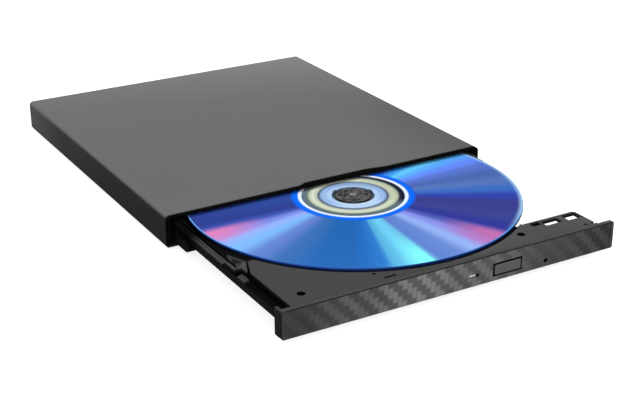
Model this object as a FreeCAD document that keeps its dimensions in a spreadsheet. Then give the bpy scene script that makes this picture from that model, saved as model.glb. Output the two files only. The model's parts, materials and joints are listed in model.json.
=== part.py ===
import FreeCAD, Part

# External slim optical drive with a manually pulled disc tray, shown with the tray part way out.
# Frame: millimetres, +Z up, +X to the right seen from the front, the tray opens toward -Y.
# The origin is the middle of the case footprint, on the surface that the four feet stand on.
# Everything that rides on the tray is drawn with the tray shut, then placed tray_open further out.

import math
import os
import Sketcher
from FreeCAD import Vector, Rotation, Placement

doc = FreeCAD.newDocument("external_optical_drive")
sheet = doc.addObject("Spreadsheet::Sheet", "dims")

# ---------------------------------------------------------------- driving dimensions
# Endings: _w width, _d depth, _t thickness, _r radius, _x _y places, _z and _top levels.
DIMS = {
    # case
    "case_w": 131.6, "case_d": 144.0, "base_z": 0.7, "case_top": 12.4,
    "wall": 1.5, "floor_z": 1.5, "top_t": 0.85, "edge_r": 1.7, "mouth_chamfer": 0.6,
    "corner_r": 1.5, "foot_r": 5.0, "foot_x": 52.0, "foot_y": 60.0, "foot_in": 0.4,
    "boss_x": 58.5, "boss_y": 64.5, "boss_r": 2.8, "screw_r": 1.0, "head_r": 1.9,
    "drive_screw_x": 50.0, "drive_screw_front": 50.0, "drive_screw_back": 46.0,
    # boards
    "bridge_z": 2.8, "board_z": 2.6, "board_top": 3.4, "front_board_t": 0.6,
    "usb_x": 30.0, "usb_w": 7.7, "usb_z": 3.6, "usb_tall": 3.9, "usb_front": 63.2,
    # drive chassis
    "pan_x": 63.9, "pan_t": 0.5, "pan_top": 11.1, "pan_front": -67.2, "pan_rear": 56.5,
    "shield_t": 0.3, "pin_x": 46.0, "pin_y": -61.5, "pin_r": 1.0, "pin_top": 5.5,
    # slides
    "guide_x": 63.4, "rail_out": 62.8, "rail_in": 59.8, "rail_z": 2.15, "rail_top": 5.9,
    "rail_front": -54.5, "rail_len": 104.0, "rail_share": 0.35,
    # tray
    "tray_open": 78.7, "tray_left": -63.3, "tray_right": 62.2,
    "tray_front": -70.2, "tray_rear": 50.0, "tray_z": 6.7, "land_z": 10.2,
    "dish_z": 8.0, "dish_r": 61.2, "window_z": 7.5,
    "wing_y": -55.7, "wing_x": 60.0, "wing_t": 1.5,
    "skirt_left": -56.4, "skirt_right": 37.4, "skirt_front": -69.2, "skirt_back": 24.0,
    "skirt_t": 1.2, "under_z": 2.3, "under_t": 0.3,
    # bezel
    "bezel_w": 128.0, "bezel_z": 1.65, "bezel_top": 11.35, "bezel_t": 1.8, "bezel_front": -72.0,
    "button_x": 19.15, "button_mid": 5.62, "button_w": 10.6, "button_tall": 3.6,
    "button_gap": 0.55, "led_x": 5.8, "led_w": 3.85, "led_z": 5.0, "led_tall": 1.15,
    "led_in": 0.5, "hole_x": 34.9, "hole_mid": 3.9, "hole_r": 0.85,
    # disc and spindle
    "spindle_x": 1.2, "spindle_y": -5.6,
    "disc_r": 60.0, "disc_hole": 7.5, "disc_t": 1.2, "disc_z": 9.4,
    "hub_r": 7.3, "table_r": 14.8, "hub_z": 8.3, "hub_top": 10.7, "cap_r": 6.5,
    "collar_top": 10.1, "hub_turn": 2.0, "shaft_r": 1.0, "shaft_z": 3.7, "shaft_top": 10.4,
    "bell_r": 12.3, "cup_r": 14.0,
    # traverse, drawn about the spindle with the pickup's travel along local -Y
    "trav_angle": 40.0, "plate_z": 6.0, "plate_top": 6.5,
    "rod_x": 13.0, "rod_z": 4.4, "rod_r": 1.0, "rod_front": -66.0, "rod_back": -10.0,
    "lens_r": 35.0, "lead_x": -17.0, "lead_r": 1.25, "lead_pitch": 3.0, "lead_groove": 1.1,
    "lead_depth": 0.4, "sled_top": 5.8,
    # latch
    "latch_x": 50.0, "latch_y": -65.2, "latch_angle": 17.0, "plunge": 2.611, "tail_x": -9.0,
    "lever_z": 3.0, "lever_top": 4.2,
    # ejector
    "eject_x": -20.0, "eject_y": 24.3, "eject_len": 5.5, "eject_w": 4.0,
}
for row, (alias, value) in enumerate(DIMS.items(), start=1):
    sheet.set("A%d" % row, alias)
    sheet.set("B%d" % row, repr(value))
    sheet.setAlias("B%d" % row, alias)
doc.recompute()


# ---------------------------------------------------------------- formulas and frames
# A formula is a plain number, or text written with alias names.

def expr(text):
    """Turn alias names into references to the sheet."""
    out, word = "", ""
    for char in text + " ":
        if char.isalnum() or char == "_":
            word += char
        else:
            out += ("dims." + word) if word in DIMS else word
            out += char
            word = ""
    return out.strip()


def val(formula):
    """The present value of a formula."""
    if isinstance(formula, (int, float)):
        return float(formula)
    got = sheet.evalExpression(expr(formula))
    return float(getattr(got, "Value", got))


def bind(obj, path, formula):
    """Tie a property to the sheet, unless the formula is a plain number."""
    if isinstance(formula, str):
        obj.setExpression(path, expr(formula))


# Frames: x, y and the turn about Z.
FIXED = (0, 0, None)
TRAY = (0, "-tray_open", None)
RAIL = (0, "-tray_open * rail_share", None)
TRAVERSE = ("spindle_x", "spindle_y - tray_open", "-trav_angle")
HUB = ("spindle_x", "spindle_y - tray_open", "hub_turn")
LEVER = ("latch_x", "latch_y - tray_open", "-latch_angle")
PLUNGER = ("latch_x + tail_x", "latch_y - tray_open + plunge", None)
LENS = ("spindle_x - lens_r * sin(trav_angle)",
        "spindle_y - tray_open - lens_r * cos(trav_angle)", None)


def place(obj, frame):
    """Set and bind a placement; a negative turn becomes a positive one about -Z."""
    x, y, angle = frame
    turn = Rotation()
    if angle:
        axis = Vector(0, 0, -1 if angle.startswith("-") else 1)
        angle = angle.lstrip("-")
        turn = Rotation(axis, val(angle))
    obj.Placement = Placement(Vector(val(x), val(y), 0), turn)
    bind(obj, ".Placement.Base.x", x)
    bind(obj, ".Placement.Base.y", y)
    bind(obj, ".Placement.Rotation.Angle", angle)


# ---------------------------------------------------------------- shapes and edges
# A sketched shape is a circle tuple or a list of outline points.

def circle(x, y, radius):
    return (x, y, radius)


def centred(radius):
    return circle(0.0, 0.0, radius)


def circles(spots, radius):
    return [circle(x, y, radius) for x, y in spots]


def rect(x0, y0, x1, y1):
    return [(x0, y0), (x1, y0), (x1, y1), (x0, y1)]


def add_lines(sketch, points):
    """Join successive points with lines and return the lines' numbers."""
    corners = [Vector(x, y, 0) for x, y in points]
    return [sketch.addGeometry(Part.LineSegment(start, end), False)
            for start, end in zip(corners, corners[1:])]


def at(box, x=None, y=None, z=None):
    """True where an edge's box lies in the planes named."""
    for low, high, level in ((box.XMin, box.XMax, x), (box.YMin, box.YMax, y),
                             (box.ZMin, box.ZMax, z)):
        if level is not None:
            level = val(level)
            if abs(low - level) >= 0.02 or abs(high - level) >= 0.02:
                return False
    return True


def along_y(box):
    return box.YLength > 1 and box.XLength < 0.01 and box.ZLength < 0.01


def back_corner(box):
    return (at(box, x="case_w/2", y="case_d/2") or at(box, x="-case_w/2", y="case_d/2"))


def rod_end(box):
    return at(box, y="rod_front") or at(box, y="rod_back")


PIECES = []  # (object, frame) pairs
PLANES = {"z": "XY_Plane", "y": "XZ_Plane", "x": "YZ_Plane"}


class Piece:
    """One PartDesign body built from sketches bound to the sheet."""

    def __init__(self, label, frame=FIXED):
        self.label = label
        self.body = doc.addObject("PartDesign::Body", label)
        self.body.Label = label
        PIECES.append((self.body, frame))

    def datum(self, role):
        return next(item for item in self.body.Origin.OriginFeatures if item.Role == role)

    def sketch(self, axis, offset, shapes=()):
        """A sketch square to an axis: in (x, y) for z, in (x, z) for y, in (y, z) for x."""
        sketch = self.body.newObject("Sketcher::SketchObject", self.label + "_sketch")
        sketch.AttachmentSupport = (self.datum(PLANES[axis]), [""])
        sketch.MapMode = "FlatFace"
        sketch.AttachmentOffset = Placement(Vector(0, 0, val(offset)), Rotation())
        bind(sketch, ".AttachmentOffset.Base.z", offset)
        for shape in shapes:
            if isinstance(shape, list):
                self.draw_outline(sketch, shape)
            else:
                self.draw_circle(sketch, *shape)
        return sketch

    def constrain(self, sketch, kind, *args):
        """Add a dimension whose last argument is a formula."""
        formula = args[-1]
        constraint = Sketcher.Constraint(kind, *args[:-1], val(formula))
        index = sketch.addConstraint(constraint)
        bind(sketch, "Constraints[%d]" % index, formula)

    def pin(self, sketch, item, point, x, y):
        self.constrain(sketch, "DistanceX", -1, 1, item, point, x)
        self.constrain(sketch, "DistanceY", -1, 1, item, point, y)

    def draw_circle(self, sketch, x, y, radius):
        curve = Part.Circle(Vector(val(x), val(y), 0), Vector(0, 0, 1), val(radius))
        item = sketch.addGeometry(curve, False)
        self.constrain(sketch, "Radius", item, radius)
        self.pin(sketch, item, 3, x, y)

    def draw_outline(self, sketch, points):
        corners = [(val(x), val(y)) for x, y in points]
        lines = add_lines(sketch, corners + corners[:1])
        for line, following in zip(lines, lines[1:] + lines[:1]):
            sketch.addConstraint(Sketcher.Constraint("Coincident", line, 2, following, 1))
        for line, (x, y) in zip(lines, points):
            self.pin(sketch, line, 1, x, y)

    def feature(self, kind):
        return self.body.newObject("PartDesign::" + kind, self.label + "_" + kind.lower())

    def extrude(self, kind, low, high, shapes, axis):
        """A pad or pocket between two levels; the y plane's normal points to -Y."""
        level = "-(%s)" % high if axis == "y" else str(low)
        length = "(%s) - (%s)" % (high, low)
        sketch = self.sketch(axis, level, shapes)
        feature = self.feature(kind)
        feature.Profile = (sketch, [""])
        feature.Length = val(length)
        bind(feature, "Length", length)
        return feature

    def pad(self, low, high, *shapes, axis="z"):
        return self.extrude("Pad", low, high, shapes, axis)

    def pocket(self, low, high, *shapes, axis="z"):
        doc.recompute()
        before = self.body.Shape.Volume
        feature = self.extrude("Pocket", low, high, shapes, axis)
        feature.Reversed = True
        doc.recompute()
        if not self.body.Shape.Volume < before - 1e-6:
            raise RuntimeError("%s: a pocket cut nothing %s %s" % (self.label, low, high))
        return feature

    def dress(self, kind, size_name, wanted, size):
        """Fillet or chamfer the edges whose bounding box passes the test."""
        doc.recompute()
        base = self.body.Tip
        names = ["Edge%d" % i for i, edge in enumerate(base.Shape.Edges, start=1)
                 if wanted(edge.BoundBox)]
        if not names:
            raise RuntimeError("%s: no edge for the %s" % (self.label, kind))
        feature = self.feature(kind)
        feature.Base = (base, names)
        setattr(feature, size_name, val(size))
        bind(feature, size_name, size)
        doc.recompute()

    def fillet(self, wanted, radius):
        self.dress("Fillet", "Radius", wanted, radius)

    def chamfer(self, wanted, size):
        self.dress("Chamfer", "Size", wanted, size)

    def revolve(self, outline):
        """A full turn of an (x, z) outline about the body's Z axis."""
        sketch = self.sketch("y", 0.0, [outline])
        feature = self.feature("Revolution")
        feature.Profile = (sketch, [""])
        feature.ReferenceAxis = (sketch, ["V_Axis"])
        feature.Angle = 360.0

    def polar(self, features, count):
        doc.recompute()
        pattern = self.body.newObject("PartDesign::PolarPattern", self.label + "_pattern")
        pattern.Originals = features
        pattern.Axis = (self.datum("Z_Axis"), [""])
        pattern.Angle = 360.0
        pattern.Occurrences = count
        self.body.Tip = pattern
        doc.recompute()


# ---------------------------------------------------------------- case

SIGNS = ("", "-")
FEET = [(sx + "foot_x", sy + "foot_y") for sx in SIGNS for sy in SIGNS]
CASE_SCREWS = [("boss_x", "boss_y"), ("-boss_x", "boss_y")]
DRIVE_SCREWS = [("drive_screw_x", "-drive_screw_front"), ("-drive_screw_x", "-drive_screw_front"),
                ("drive_screw_x", "drive_screw_back"), ("-drive_screw_x", "drive_screw_back")]

cover = Piece("top_cover")
cover.pad("floor_z", "case_top", rect("-case_w/2", "-case_d/2", "case_w/2", "case_d/2"))
cover.fillet(back_corner, "corner_r")
cover.fillet(lambda box: at(box, z="case_top") and not at(box, y="-case_d/2"), "edge_r")
cover.chamfer(lambda box: at(box, y="-case_d/2", z="case_top"), "mouth_chamfer")
cover.pocket("floor_z", "case_top - top_t",
             rect("-case_w/2 + wall", "-case_d/2 - 1", "case_w/2 - wall", "case_d/2 - wall"))
cover.pad("floor_z", "case_top - top_t", *circles(CASE_SCREWS, "boss_r"))
cover.pocket("floor_z", "floor_z + 6", *circles(CASE_SCREWS, "screw_r"))
# socket opening in the back wall, then a slot in the left wall near the back
cover.pocket("case_d/2 - wall - 0.5", "case_d/2 + 0.5",
             rect("usb_x - usb_w/2 - 0.25", "usb_z - 0.25",
                  "usb_x + usb_w/2 + 0.25", "usb_z + usb_tall + 0.25"), axis="y")
cover.pocket("-case_w/2 - 0.5", "-case_w/2 + wall + 0.2",
             rect("case_d/2 - 3.4", 6.4, "case_d/2 - 2.4", 9.6), axis="x")

base = Piece("base_shell")
base.pad("base_z", "floor_z", rect("-case_w/2", "-case_d/2", "case_w/2", "case_d/2"))
base.fillet(back_corner, "corner_r")
base.chamfer(lambda box: at(box, z="base_z"), 0.4)
base.pocket("base_z - 0.1", "base_z + foot_in", *circles(FEET, "foot_r"))
# counterbores and through holes for all six screws
base.pocket("base_z - 0.1", "floor_z - 0.25", *circles(CASE_SCREWS + DRIVE_SCREWS, 2.0))
base.pocket("base_z - 0.1", "floor_z + 0.1", *circles(CASE_SCREWS + DRIVE_SCREWS, 1.1))
# standoffs under the bridge board and two low ribs
base.pad("floor_z", "bridge_z", *circles([(-28.0, 66.5), (38.0, 60.5), (10.0, 66.5)], 1.8))
base.pad("floor_z", 3.2, rect(-50.0, 57.5, -42.0, 58.5), rect(48.0, 57.5, 54.0, 58.5))

feet = Piece("rubber_feet")
feet.pad(0.0, "base_z + foot_in", *circles(FEET, "foot_r - 0.05"))
feet.fillet(lambda box: at(box, z=0.0), 0.35)


def cross_screws(label, spots, shank_top):
    """Cross-recess screws driven from below: a head and a shank at each spot."""
    head_z, head_top = "base_z + 0.05", "floor_z - 0.25"
    screws = Piece(label)
    screws.pad(head_z, head_top, *circles(spots, "head_r"))
    screws.pad(head_top, shank_top, *circles(spots, "screw_r"))
    arm, half_w = "head_r * 0.55", "0.18"
    recess_top = "%s + 0.6 * (%s - (%s))" % (head_z, head_top, head_z)
    for dx, dy in ((arm, half_w), (half_w, arm)):
        screws.pocket(head_z + " - 0.05", recess_top,
                      *[rect("%s - %s" % (x, dx), "%s - %s" % (y, dy),
                             "%s + %s" % (x, dx), "%s + %s" % (y, dy)) for x, y in spots])


cross_screws("case_screws", CASE_SCREWS, "floor_z + 5.5")
cross_screws("drive_screws", DRIVE_SCREWS, "floor_z + pan_t")

# ---------------------------------------------------------------- bridge board bay, behind the drive

bridge = Piece("bridge_board")
bridge.pad("bridge_z", "usb_z", rect(-34.0, 58.0, 44.0, 69.8))
bridge.pocket("bridge_z - 0.1", "usb_z + 0.1", *circles([(-28.0, 66.5), (38.0, 60.5)], 0.9))

chips = Piece("bridge_chips")
chips.pad("usb_z", "usb_z + 1.0", rect(-12.0, 62.6, -5.0, 69.0), rect(3.0, 62.8, 8.0, 67.0))
chips.pad("usb_z", "usb_z + 1.6", rect(12.0, 62.8, 15.5, 68.8), rect(-24.0, 60.5, -21.0, 63.5))
chips.pad("usb_z", "usb_z + 0.6", rect(-19.0, 64.0, -17.0, 65.2),
          rect(-19.0, 66.4, -17.0, 67.6), rect(20.0, 62.8, 22.0, 64.0))

# shell, hollow from the back, and the tongue inside
usb = Piece("usb_socket")
usb.pad("usb_z", "usb_z + usb_tall",
        rect("usb_x - usb_w/2", "usb_front", "usb_x + usb_w/2", "case_d/2"))
usb.fillet(along_y, 0.5)
usb.pocket("usb_front + 1.2", "case_d/2 + 0.1",
           rect("usb_x - usb_w/2 + 0.4", "usb_z + 0.4",
                "usb_x + usb_w/2 - 0.4", "usb_z + usb_tall - 0.4"), axis="y")
usb.pad("usb_front + 1.2", "case_d/2 - 1.4",
        rect("usb_x - 2.4", "usb_z + 1.6", "usb_x + 2.4", "usb_z + 2.3"), axis="y")

receptacle = Piece("sata_receptacle")
receptacle.pad("usb_z", "usb_z + 3.0", rect(-18.5, 57.6, 14.5, 61.8))
receptacle.pocket(57.5, 60.4, rect(-15.5, "usb_z + 0.8", 4.0, "usb_z + 1.9"),
                  rect(5.5, "usb_z + 0.8", 12.5, "usb_z + 1.9"), axis="y")

# ---------------------------------------------------------------- drive chassis

TAB_SCREWS = [(-60.5, 54.0), (60.5, 54.0)]

# floor, side walls, rear wall and the tabs in its corners
chassis = Piece("drive_chassis")
chassis.pad("floor_z", "floor_z + pan_t", rect("-pan_x", "pan_front", "pan_x", "pan_rear"))
chassis.pad("floor_z + pan_t", "pan_top",
            rect("-pan_x", "pan_front", "-pan_x + pan_t", "pan_rear"),
            rect("pan_x - pan_t", "pan_front", "pan_x", "pan_rear"))
chassis.pad("floor_z + pan_t", "pan_top",
            rect("-pan_x + pan_t", "pan_rear - pan_t", "pan_x - pan_t", "pan_rear"))
chassis.pad("pan_top - 0.7", "pan_top",
            rect("-pan_x + pan_t", 52.0, -57.5, "pan_rear - pan_t"),
            rect(57.5, 52.0, "pan_x - pan_t", "pan_rear - pan_t"))
# folded lips that keep the slides in line, and bosses under the main board
chassis.pad("floor_z + pan_t", 3.2,
            rect("-rail_in + 0.1", "pan_front + 0.3", "-rail_in + 0.6", 50.0),
            rect("rail_in - 0.6", "pan_front + 0.3", "rail_in - 0.1", 50.0))
chassis.pad("floor_z + pan_t", "board_z",
            *circles([(-45.0, 47.0), (43.0, 47.0), (18.0, 51.0)], 1.8))
# screw and pin holes, the plug's opening in the rear wall, and the tabs' holes
chassis.pocket("floor_z - 0.1", "floor_z + pan_t + 0.1",
               *circles(DRIVE_SCREWS, "screw_r"), circle("pin_x", "pin_y", "pin_r"))
chassis.pocket("pan_rear - pan_t - 0.1", "pan_rear + 0.1", rect(-18.2, 3.2, 14.2, 6.1), axis="y")
chassis.pocket("pan_top - 0.8", "pan_top + 0.1", *circles(TAB_SCREWS, 0.8))

shield = Piece("drive_top_shield")
shield.pad("pan_top", "pan_top + shield_t",
           rect("-pan_x - 0.35", "pan_front", "pan_x + 0.35", "pan_rear"))
shield.pad(9.6, "pan_top", rect("-pan_x - 0.35", "pan_front", "-pan_x - 0.05", "pan_rear"),
           rect("pan_x + 0.05", "pan_front", "pan_x + 0.35", "pan_rear"))
shield.pocket("pan_top - 0.1", "pan_top + shield_t + 0.1", *circles(TAB_SCREWS, 0.8))

tab_screws = Piece("shield_screws")
tab_screws.pad("pan_top + shield_t", "pan_top + shield_t + 0.12", *circles(TAB_SCREWS, 1.5))
tab_screws.pad(10.3, "pan_top + shield_t", *circles(TAB_SCREWS, 0.8))

catch = Piece("catch_pin")
catch.pad("floor_z", "pin_top", circle("pin_x", "pin_y", "pin_r"))
catch.chamfer(lambda box: at(box, z="pin_top"), 0.25)

# (x, z) sections of the right side; the left side mirrors them
CHANNEL_SECTION = [
    ("guide_x", "floor_z + pan_t"), ("guide_x - 0.5", "floor_z + pan_t"),
    ("guide_x - 0.5", "rail_top + 0.1"), ("guide_x - 1.7", "rail_top + 0.1"),
    ("guide_x - 1.7", "rail_top + 0.6"), ("guide_x", "rail_top + 0.6")]
# a bar with a T slot along its top that holds the tray's runner
RAIL_SECTION = [
    ("rail_in", "rail_z"), ("rail_out", "rail_z"), ("rail_out", "rail_top"),
    ("rail_in + 1.5", "rail_top"), ("rail_in + 1.5", 4.7), ("rail_in + 1.8", 4.7),
    ("rail_in + 1.8", 3.9), ("rail_in + 0.4", 3.9), ("rail_in + 0.4", 4.7),
    ("rail_in + 0.7", 4.7), ("rail_in + 0.7", "rail_top"), ("rail_in", "rail_top")]
for side, sign in (("left", "-"), ("right", "")):
    channel = Piece("guide_channel_" + side)
    channel.pad("pan_front + 0.2", 55.0,
                [("%s(%s)" % (sign, x), z) for x, z in CHANNEL_SECTION], axis="y")
    rail = Piece("rail_" + side, RAIL)
    rail.pad("rail_front", "rail_front + rail_len",
             [("%s(%s)" % (sign, x), z) for x, z in RAIL_SECTION], axis="y")
    rail.fillet(lambda box: at(box, y="rail_front", z="rail_z"), 1.2)

Piece("main_board").pad("board_z", "board_top", rect(-50.0, 39.5, 58.4, 54.6))

chips = Piece("main_board_chips")
chips.pad("board_top", "board_top + 1.0", rect(-30.0, 41.0, -18.0, 53.0),
          rect(22.0, 42.0, 31.0, 51.0), rect(-44.0, 43.0, -37.0, 50.0))
chips.pad("board_top", "board_top + 1.8", rect(48.6, 39.7, 58.2, 43.4),
          rect(36.0, 44.0, 40.0, 49.0))
chips.pad("board_top", "board_top + 0.6", rect(-14.0, 42.0, -12.0, 43.2),
          rect(-10.0, 42.0, -8.0, 43.2), rect(16.0, 42.0, 18.0, 43.2))

Piece("sata_plug").pad("board_top", "board_top + 2.5", rect(-18.0, 52.4, 14.0, 57.5))

# two lipped side walls closed by a back wall
guide = Piece("ejector_guide")
guide.pad("eject_y + 0.5", "eject_y + 13.6",
          *[[("eject_x %s %s" % (way, reach), z) for reach, z in
             ((2.8, 2.0), (2.1, 2.0), (2.1, 5.3), (1.2, 5.3), (1.2, 5.8), (2.8, 5.8))]
            for way in "-+"], axis="y")
guide.pad("eject_y + 13.6", "eject_y + 14.3",
          rect("eject_x - 2.8", 2.0, "eject_x + 2.8", 5.8), axis="y")

slider = Piece("ejector_slider")
slider.pad(2.1, 5.2, rect("eject_x - eject_w/2", "eject_y",
                          "eject_x + eject_w/2", "eject_y + eject_len"))
slider.pocket("eject_y + 1.5", "eject_y + eject_len + 0.1", circle("eject_x", 3.7, 1.0), axis="y")


def ribbon_cable(left=49.0, width=9.4, fold_y=-62.0, low=2.1, top=5.95, thick=0.1):
    """Flat cable, drawn in (y, z): along the floor, round a fold and back under the tray."""
    cable = Piece("ribbon_cable")
    sketch = cable.sketch("x", left)
    outer_r = (top - low) / 2.0
    centre = Vector(fold_y, (low + top) / 2.0, 0)

    def fold(radius):
        curve = Part.Circle(centre, Vector(0, 0, 1), radius)
        sketch.addGeometry(Part.ArcOfCircle(curve, math.pi / 2, 3 * math.pi / 2), False)

    add_lines(sketch, [(39.6, 4.35), (38.05, 4.35), (35.55, low + thick), (fold_y, low + thick)])
    fold(outer_r - thick)
    add_lines(sketch, [(fold_y, top - thick), (-57.95, top - thick), (-57.95, top), (fold_y, top)])
    fold(outer_r)
    add_lines(sketch, [(fold_y, low), (35.5, low), (38.0, 4.25), (39.6, 4.25), (39.6, 4.35)])
    pad = cable.feature("Pad")
    pad.Profile = (sketch, [""])
    pad.Length = width


ribbon_cable()

# ---------------------------------------------------------------- tray


def turned(u, w):
    """A point of the traverse's own frame, in the shut tray's frame."""
    return ("spindle_x + (%s) * cos(trav_angle) + (%s) * sin(trav_angle)" % (u, w),
            "spindle_y - (%s) * sin(trav_angle) + (%s) * cos(trav_angle)" % (u, w))


def turned_rect(*corners):
    return [turned(u, w) for u, w in rect(*corners)]


DAMPERS = [(19.5, -45.0), (19.5, 6.0), (-22.5, -30.0)]  # in the traverse's frame
POSTS = [(-50.0, -63.0), (32.0, -22.0), (32.0, 18.0), (-50.0, 18.0)]
# (x, y) outlines
TRAY_OUTLINE = [
    ("tray_left", "tray_front"), ("wing_x", "tray_front"), ("wing_x", "wing_y - 0.9"),
    ("wing_x - 0.9", "wing_y"), (38.2, "wing_y"), (37.5, "wing_y - 0.2"), (37.5, -46.0),
    (47.0, -36.0), (54.5, -24.0), ("tray_right", -8.0), ("tray_right", "tray_rear"),
    ("tray_left", "tray_rear")]
LOW_EDGE = [("tray_left - 1", -41.6), (-61.3, -41.6), (-61.3, -37.5), (-62.3, -37.5),
            (-62.3, -31.0), ("tray_left - 1", -31.0)]
GUARD_BLOCK = [(-58.6, -36.6), (-57.0, -35.0), (-58.6, -40.6), (-59.7, -40.4), (-59.5, -36.9)]
GUARD_SLIT = [(-56.4, -34.4), (-55.9, -34.7), (-58.9, -42.3), (-59.6, -42.0)]
WING_STEP = [(36.0, -55.0), (35.2, -57.6), (35.2, -64.8), (35.7, -66.3), (37.2, -67.1),
             (61.0, -67.3), (61.0, -55.0)]
# (x, z) section of the right runner, a T hanging from the tray
RUNNER_SECTION = [(60.6, "tray_z"), (60.6, 4.6), (60.3, 4.6), (60.3, 4.0),
                  (61.5, 4.0), (61.5, 4.6), (61.2, 4.6), (61.2, "tray_z")]

tray = Piece("tray", TRAY)
tray.pad("tray_z", "land_z", TRAY_OUTLINE)
tray.pocket("dish_z", "land_z + 0.1", circle("spindle_x", "spindle_y", "dish_r"))
tray.pocket("land_z - 0.3", "land_z + 0.1", circle("spindle_x", "spindle_y", "dish_r + 0.35"))
# left side: channel, thin outer ridge with low stretches, and the guard block in the channel
tray.pocket(7.2, "land_z + 0.1", rect(-61.4, -69.0, -58.8, -37.4))
tray.pocket(7.4, "land_z + 0.1", rect(-61.4, -25.5, -60.6, "tray_rear + 1"))
tray.pocket("land_z - 1.6", "land_z + 0.1", rect(-61.2, -36.4, -60.3, -29.0))
tray.pocket("land_z - 0.25", "land_z + 0.1",
            rect("tray_left - 1", "tray_front - 1", -62.2, "tray_rear + 1"))
tray.pocket("land_z - 1.1", "land_z + 0.1", LOW_EDGE,
            rect("tray_left - 1", "tray_front - 1", -61.3, -46.3))
tray.pocket(7.2, "land_z - 1", rect(-62.8, -69.0, -61.3, -46.3), rect(-62.8, -41.6, -61.3, -37.5))
tray.pad("tray_z", "land_z", GUARD_BLOCK)
tray.pocket(7.4, "land_z + 0.1", GUARD_SLIT)
tray.pocket("dish_z + 0.2", "land_z + 0.1", rect(-54.6, -32.2, -52.9, -30.9))
# front left corner clears the bezel's return
tray.pocket("tray_z - 0.1", "land_z + 0.1",
            rect("tray_left - 1", "tray_front - 1", -62.7, "bezel_front + bezel_t + 2.9"))
# right front wing: a step down, a thinned part, a blind opening, two openings and two notches
tray.pocket("land_z - 0.2", "land_z + 0.1", WING_STEP)
tray.pocket("tray_z - 0.1", "land_z - wing_t", rect(44.1, -62.0, 61.0, -54.0))
tray.pocket("land_z - 2.4", "land_z + 0.1", rect(39.9, -59.0, 43.6, -56.4))
tray.pocket("land_z - wing_t - 0.1", "land_z + 0.1", rect(44.2, -60.6, 51.1, -57.0),
            rect(53.5, -60.9, 59.3, -56.6))
tray.pocket("land_z - 1.2", "land_z + 0.1", rect(55.5, -67.6, 56.8, -66.1),
            rect(58.3, -67.6, 60.1, -66.2))
# small openings in the front land
tray.pocket("tray_z - 0.1", "land_z + 0.1", circle(-52.1, -62.4, 1.4),
            circle(-25.9, -62.3, 0.6), rect(-24.6, -66.8, -20.2, -65.8))
tray.pocket("land_z - 2.4", "land_z + 0.1", circle(32.0, -62.2, 1.4))
# opening over the traverse with a ledge for the window plate
tray.pocket("tray_z - 0.1", "dish_z + 0.1", turned_rect(-16.0, -65.0, 16.0, 14.5))
tray.pocket("window_z", "dish_z + 0.01", turned_rect(-17.5, -66.5, 17.5, 16.0))
# skirt round the mechanism, screw posts, latch boss and side runners
tray.pad("under_z + under_t", "tray_z",
         rect("skirt_left", "skirt_front", "skirt_right", "skirt_back"),
         rect("skirt_left + skirt_t", "skirt_front + skirt_t",
              "skirt_right - skirt_t", "skirt_back - skirt_t"))
tray.pad("under_z + under_t", "tray_z", *circles(POSTS, 2.0))
tray.pad(4.3, "tray_z", circle("latch_x", "latch_y", 1.8))
for way in (1, -1):
    tray.pad(-2.0, "tray_rear", [(way * x, z) for x, z in RUNNER_SECTION], axis="y")
# clearances behind the button, the indicator and the emergency hole
tray.pocket("tray_z - 0.1", 8.3, rect(12.4, "tray_front - 1", 25.9, -67.8))
tray.pocket("under_z + under_t - 0.1", "tray_z + 0.1",
            *[rect(left, "skirt_front - 0.5", right, -67.9)
              for left, right in ((12.4, 25.9), (3.0, 8.6), (33.7, 36.1))])
# notch through the skirt's right side, near the front
tray.pocket("under_z + under_t - 0.1", 4.5,
            rect("skirt_right - skirt_t - 0.3", -66.8, "skirt_right + 0.3", -59.4))
# screw and pin holes
tray.pocket("tray_z - 0.1", 7.7, *circles([turned(u, w) for u, w in DAMPERS], 0.8))
tray.pocket(4.2, 8.2, circle("latch_x", "latch_y", 0.8))
tray.pocket("under_z + under_t - 0.1", 6.0, *circles(POSTS, 0.7))

BEZEL_BACK = "bezel_front + bezel_t"

bezel = Piece("bezel", TRAY)
bezel.pad("bezel_front", BEZEL_BACK,
          rect("-bezel_w/2", "bezel_z", "bezel_w/2", "bezel_top"), axis="y")
bezel.fillet(along_y, 0.7)
bezel.fillet(lambda box: at(box, y="bezel_front"), 0.3)
# returns at both ends
bezel.pad(BEZEL_BACK, BEZEL_BACK + " + 2.8",
          rect("-bezel_w/2", "bezel_z + 0.3", "-bezel_w/2 + 1.2", "bezel_top - 0.3"),
          rect("bezel_w/2 - 1.2", "bezel_z + 0.3", "bezel_w/2", "bezel_top - 1.6"), axis="y")
# hairline border along the top and right of the face
bezel.pocket("bezel_front - 0.1", "bezel_front + 0.2",
             rect("-bezel_w/2 + 1.5", "bezel_top - 0.36", "bezel_w/2 - 1.8", "bezel_top - 0.12"),
             rect("bezel_w/2 - 1.8", "bezel_z + 0.8", "bezel_w/2 - 1.5", "bezel_top - 0.12"),
             axis="y")
# three tabs behind the face
bezel.pad(BEZEL_BACK, BEZEL_BACK + " + 0.95", rect(-46.0, 3.2, -38.0, 4.2),
          rect(-16.0, 3.2, -8.0, 4.2), rect(40.0, 3.2, 47.0, 4.2), axis="y")
# openings for the button, the indicator and the emergency release
LED_FACE = rect("led_x - led_w/2", "led_z", "led_x + led_w/2", "led_z + led_tall")
bezel.pocket("bezel_front - 0.5", BEZEL_BACK + " + 0.1",
             rect("button_x - button_w/2 - button_gap", "button_mid - button_tall/2 - button_gap",
                  "button_x + button_w/2 + button_gap", "button_mid + button_tall/2 + button_gap"),
             LED_FACE, circle("hole_x", "hole_mid", "hole_r"), axis="y")

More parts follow.
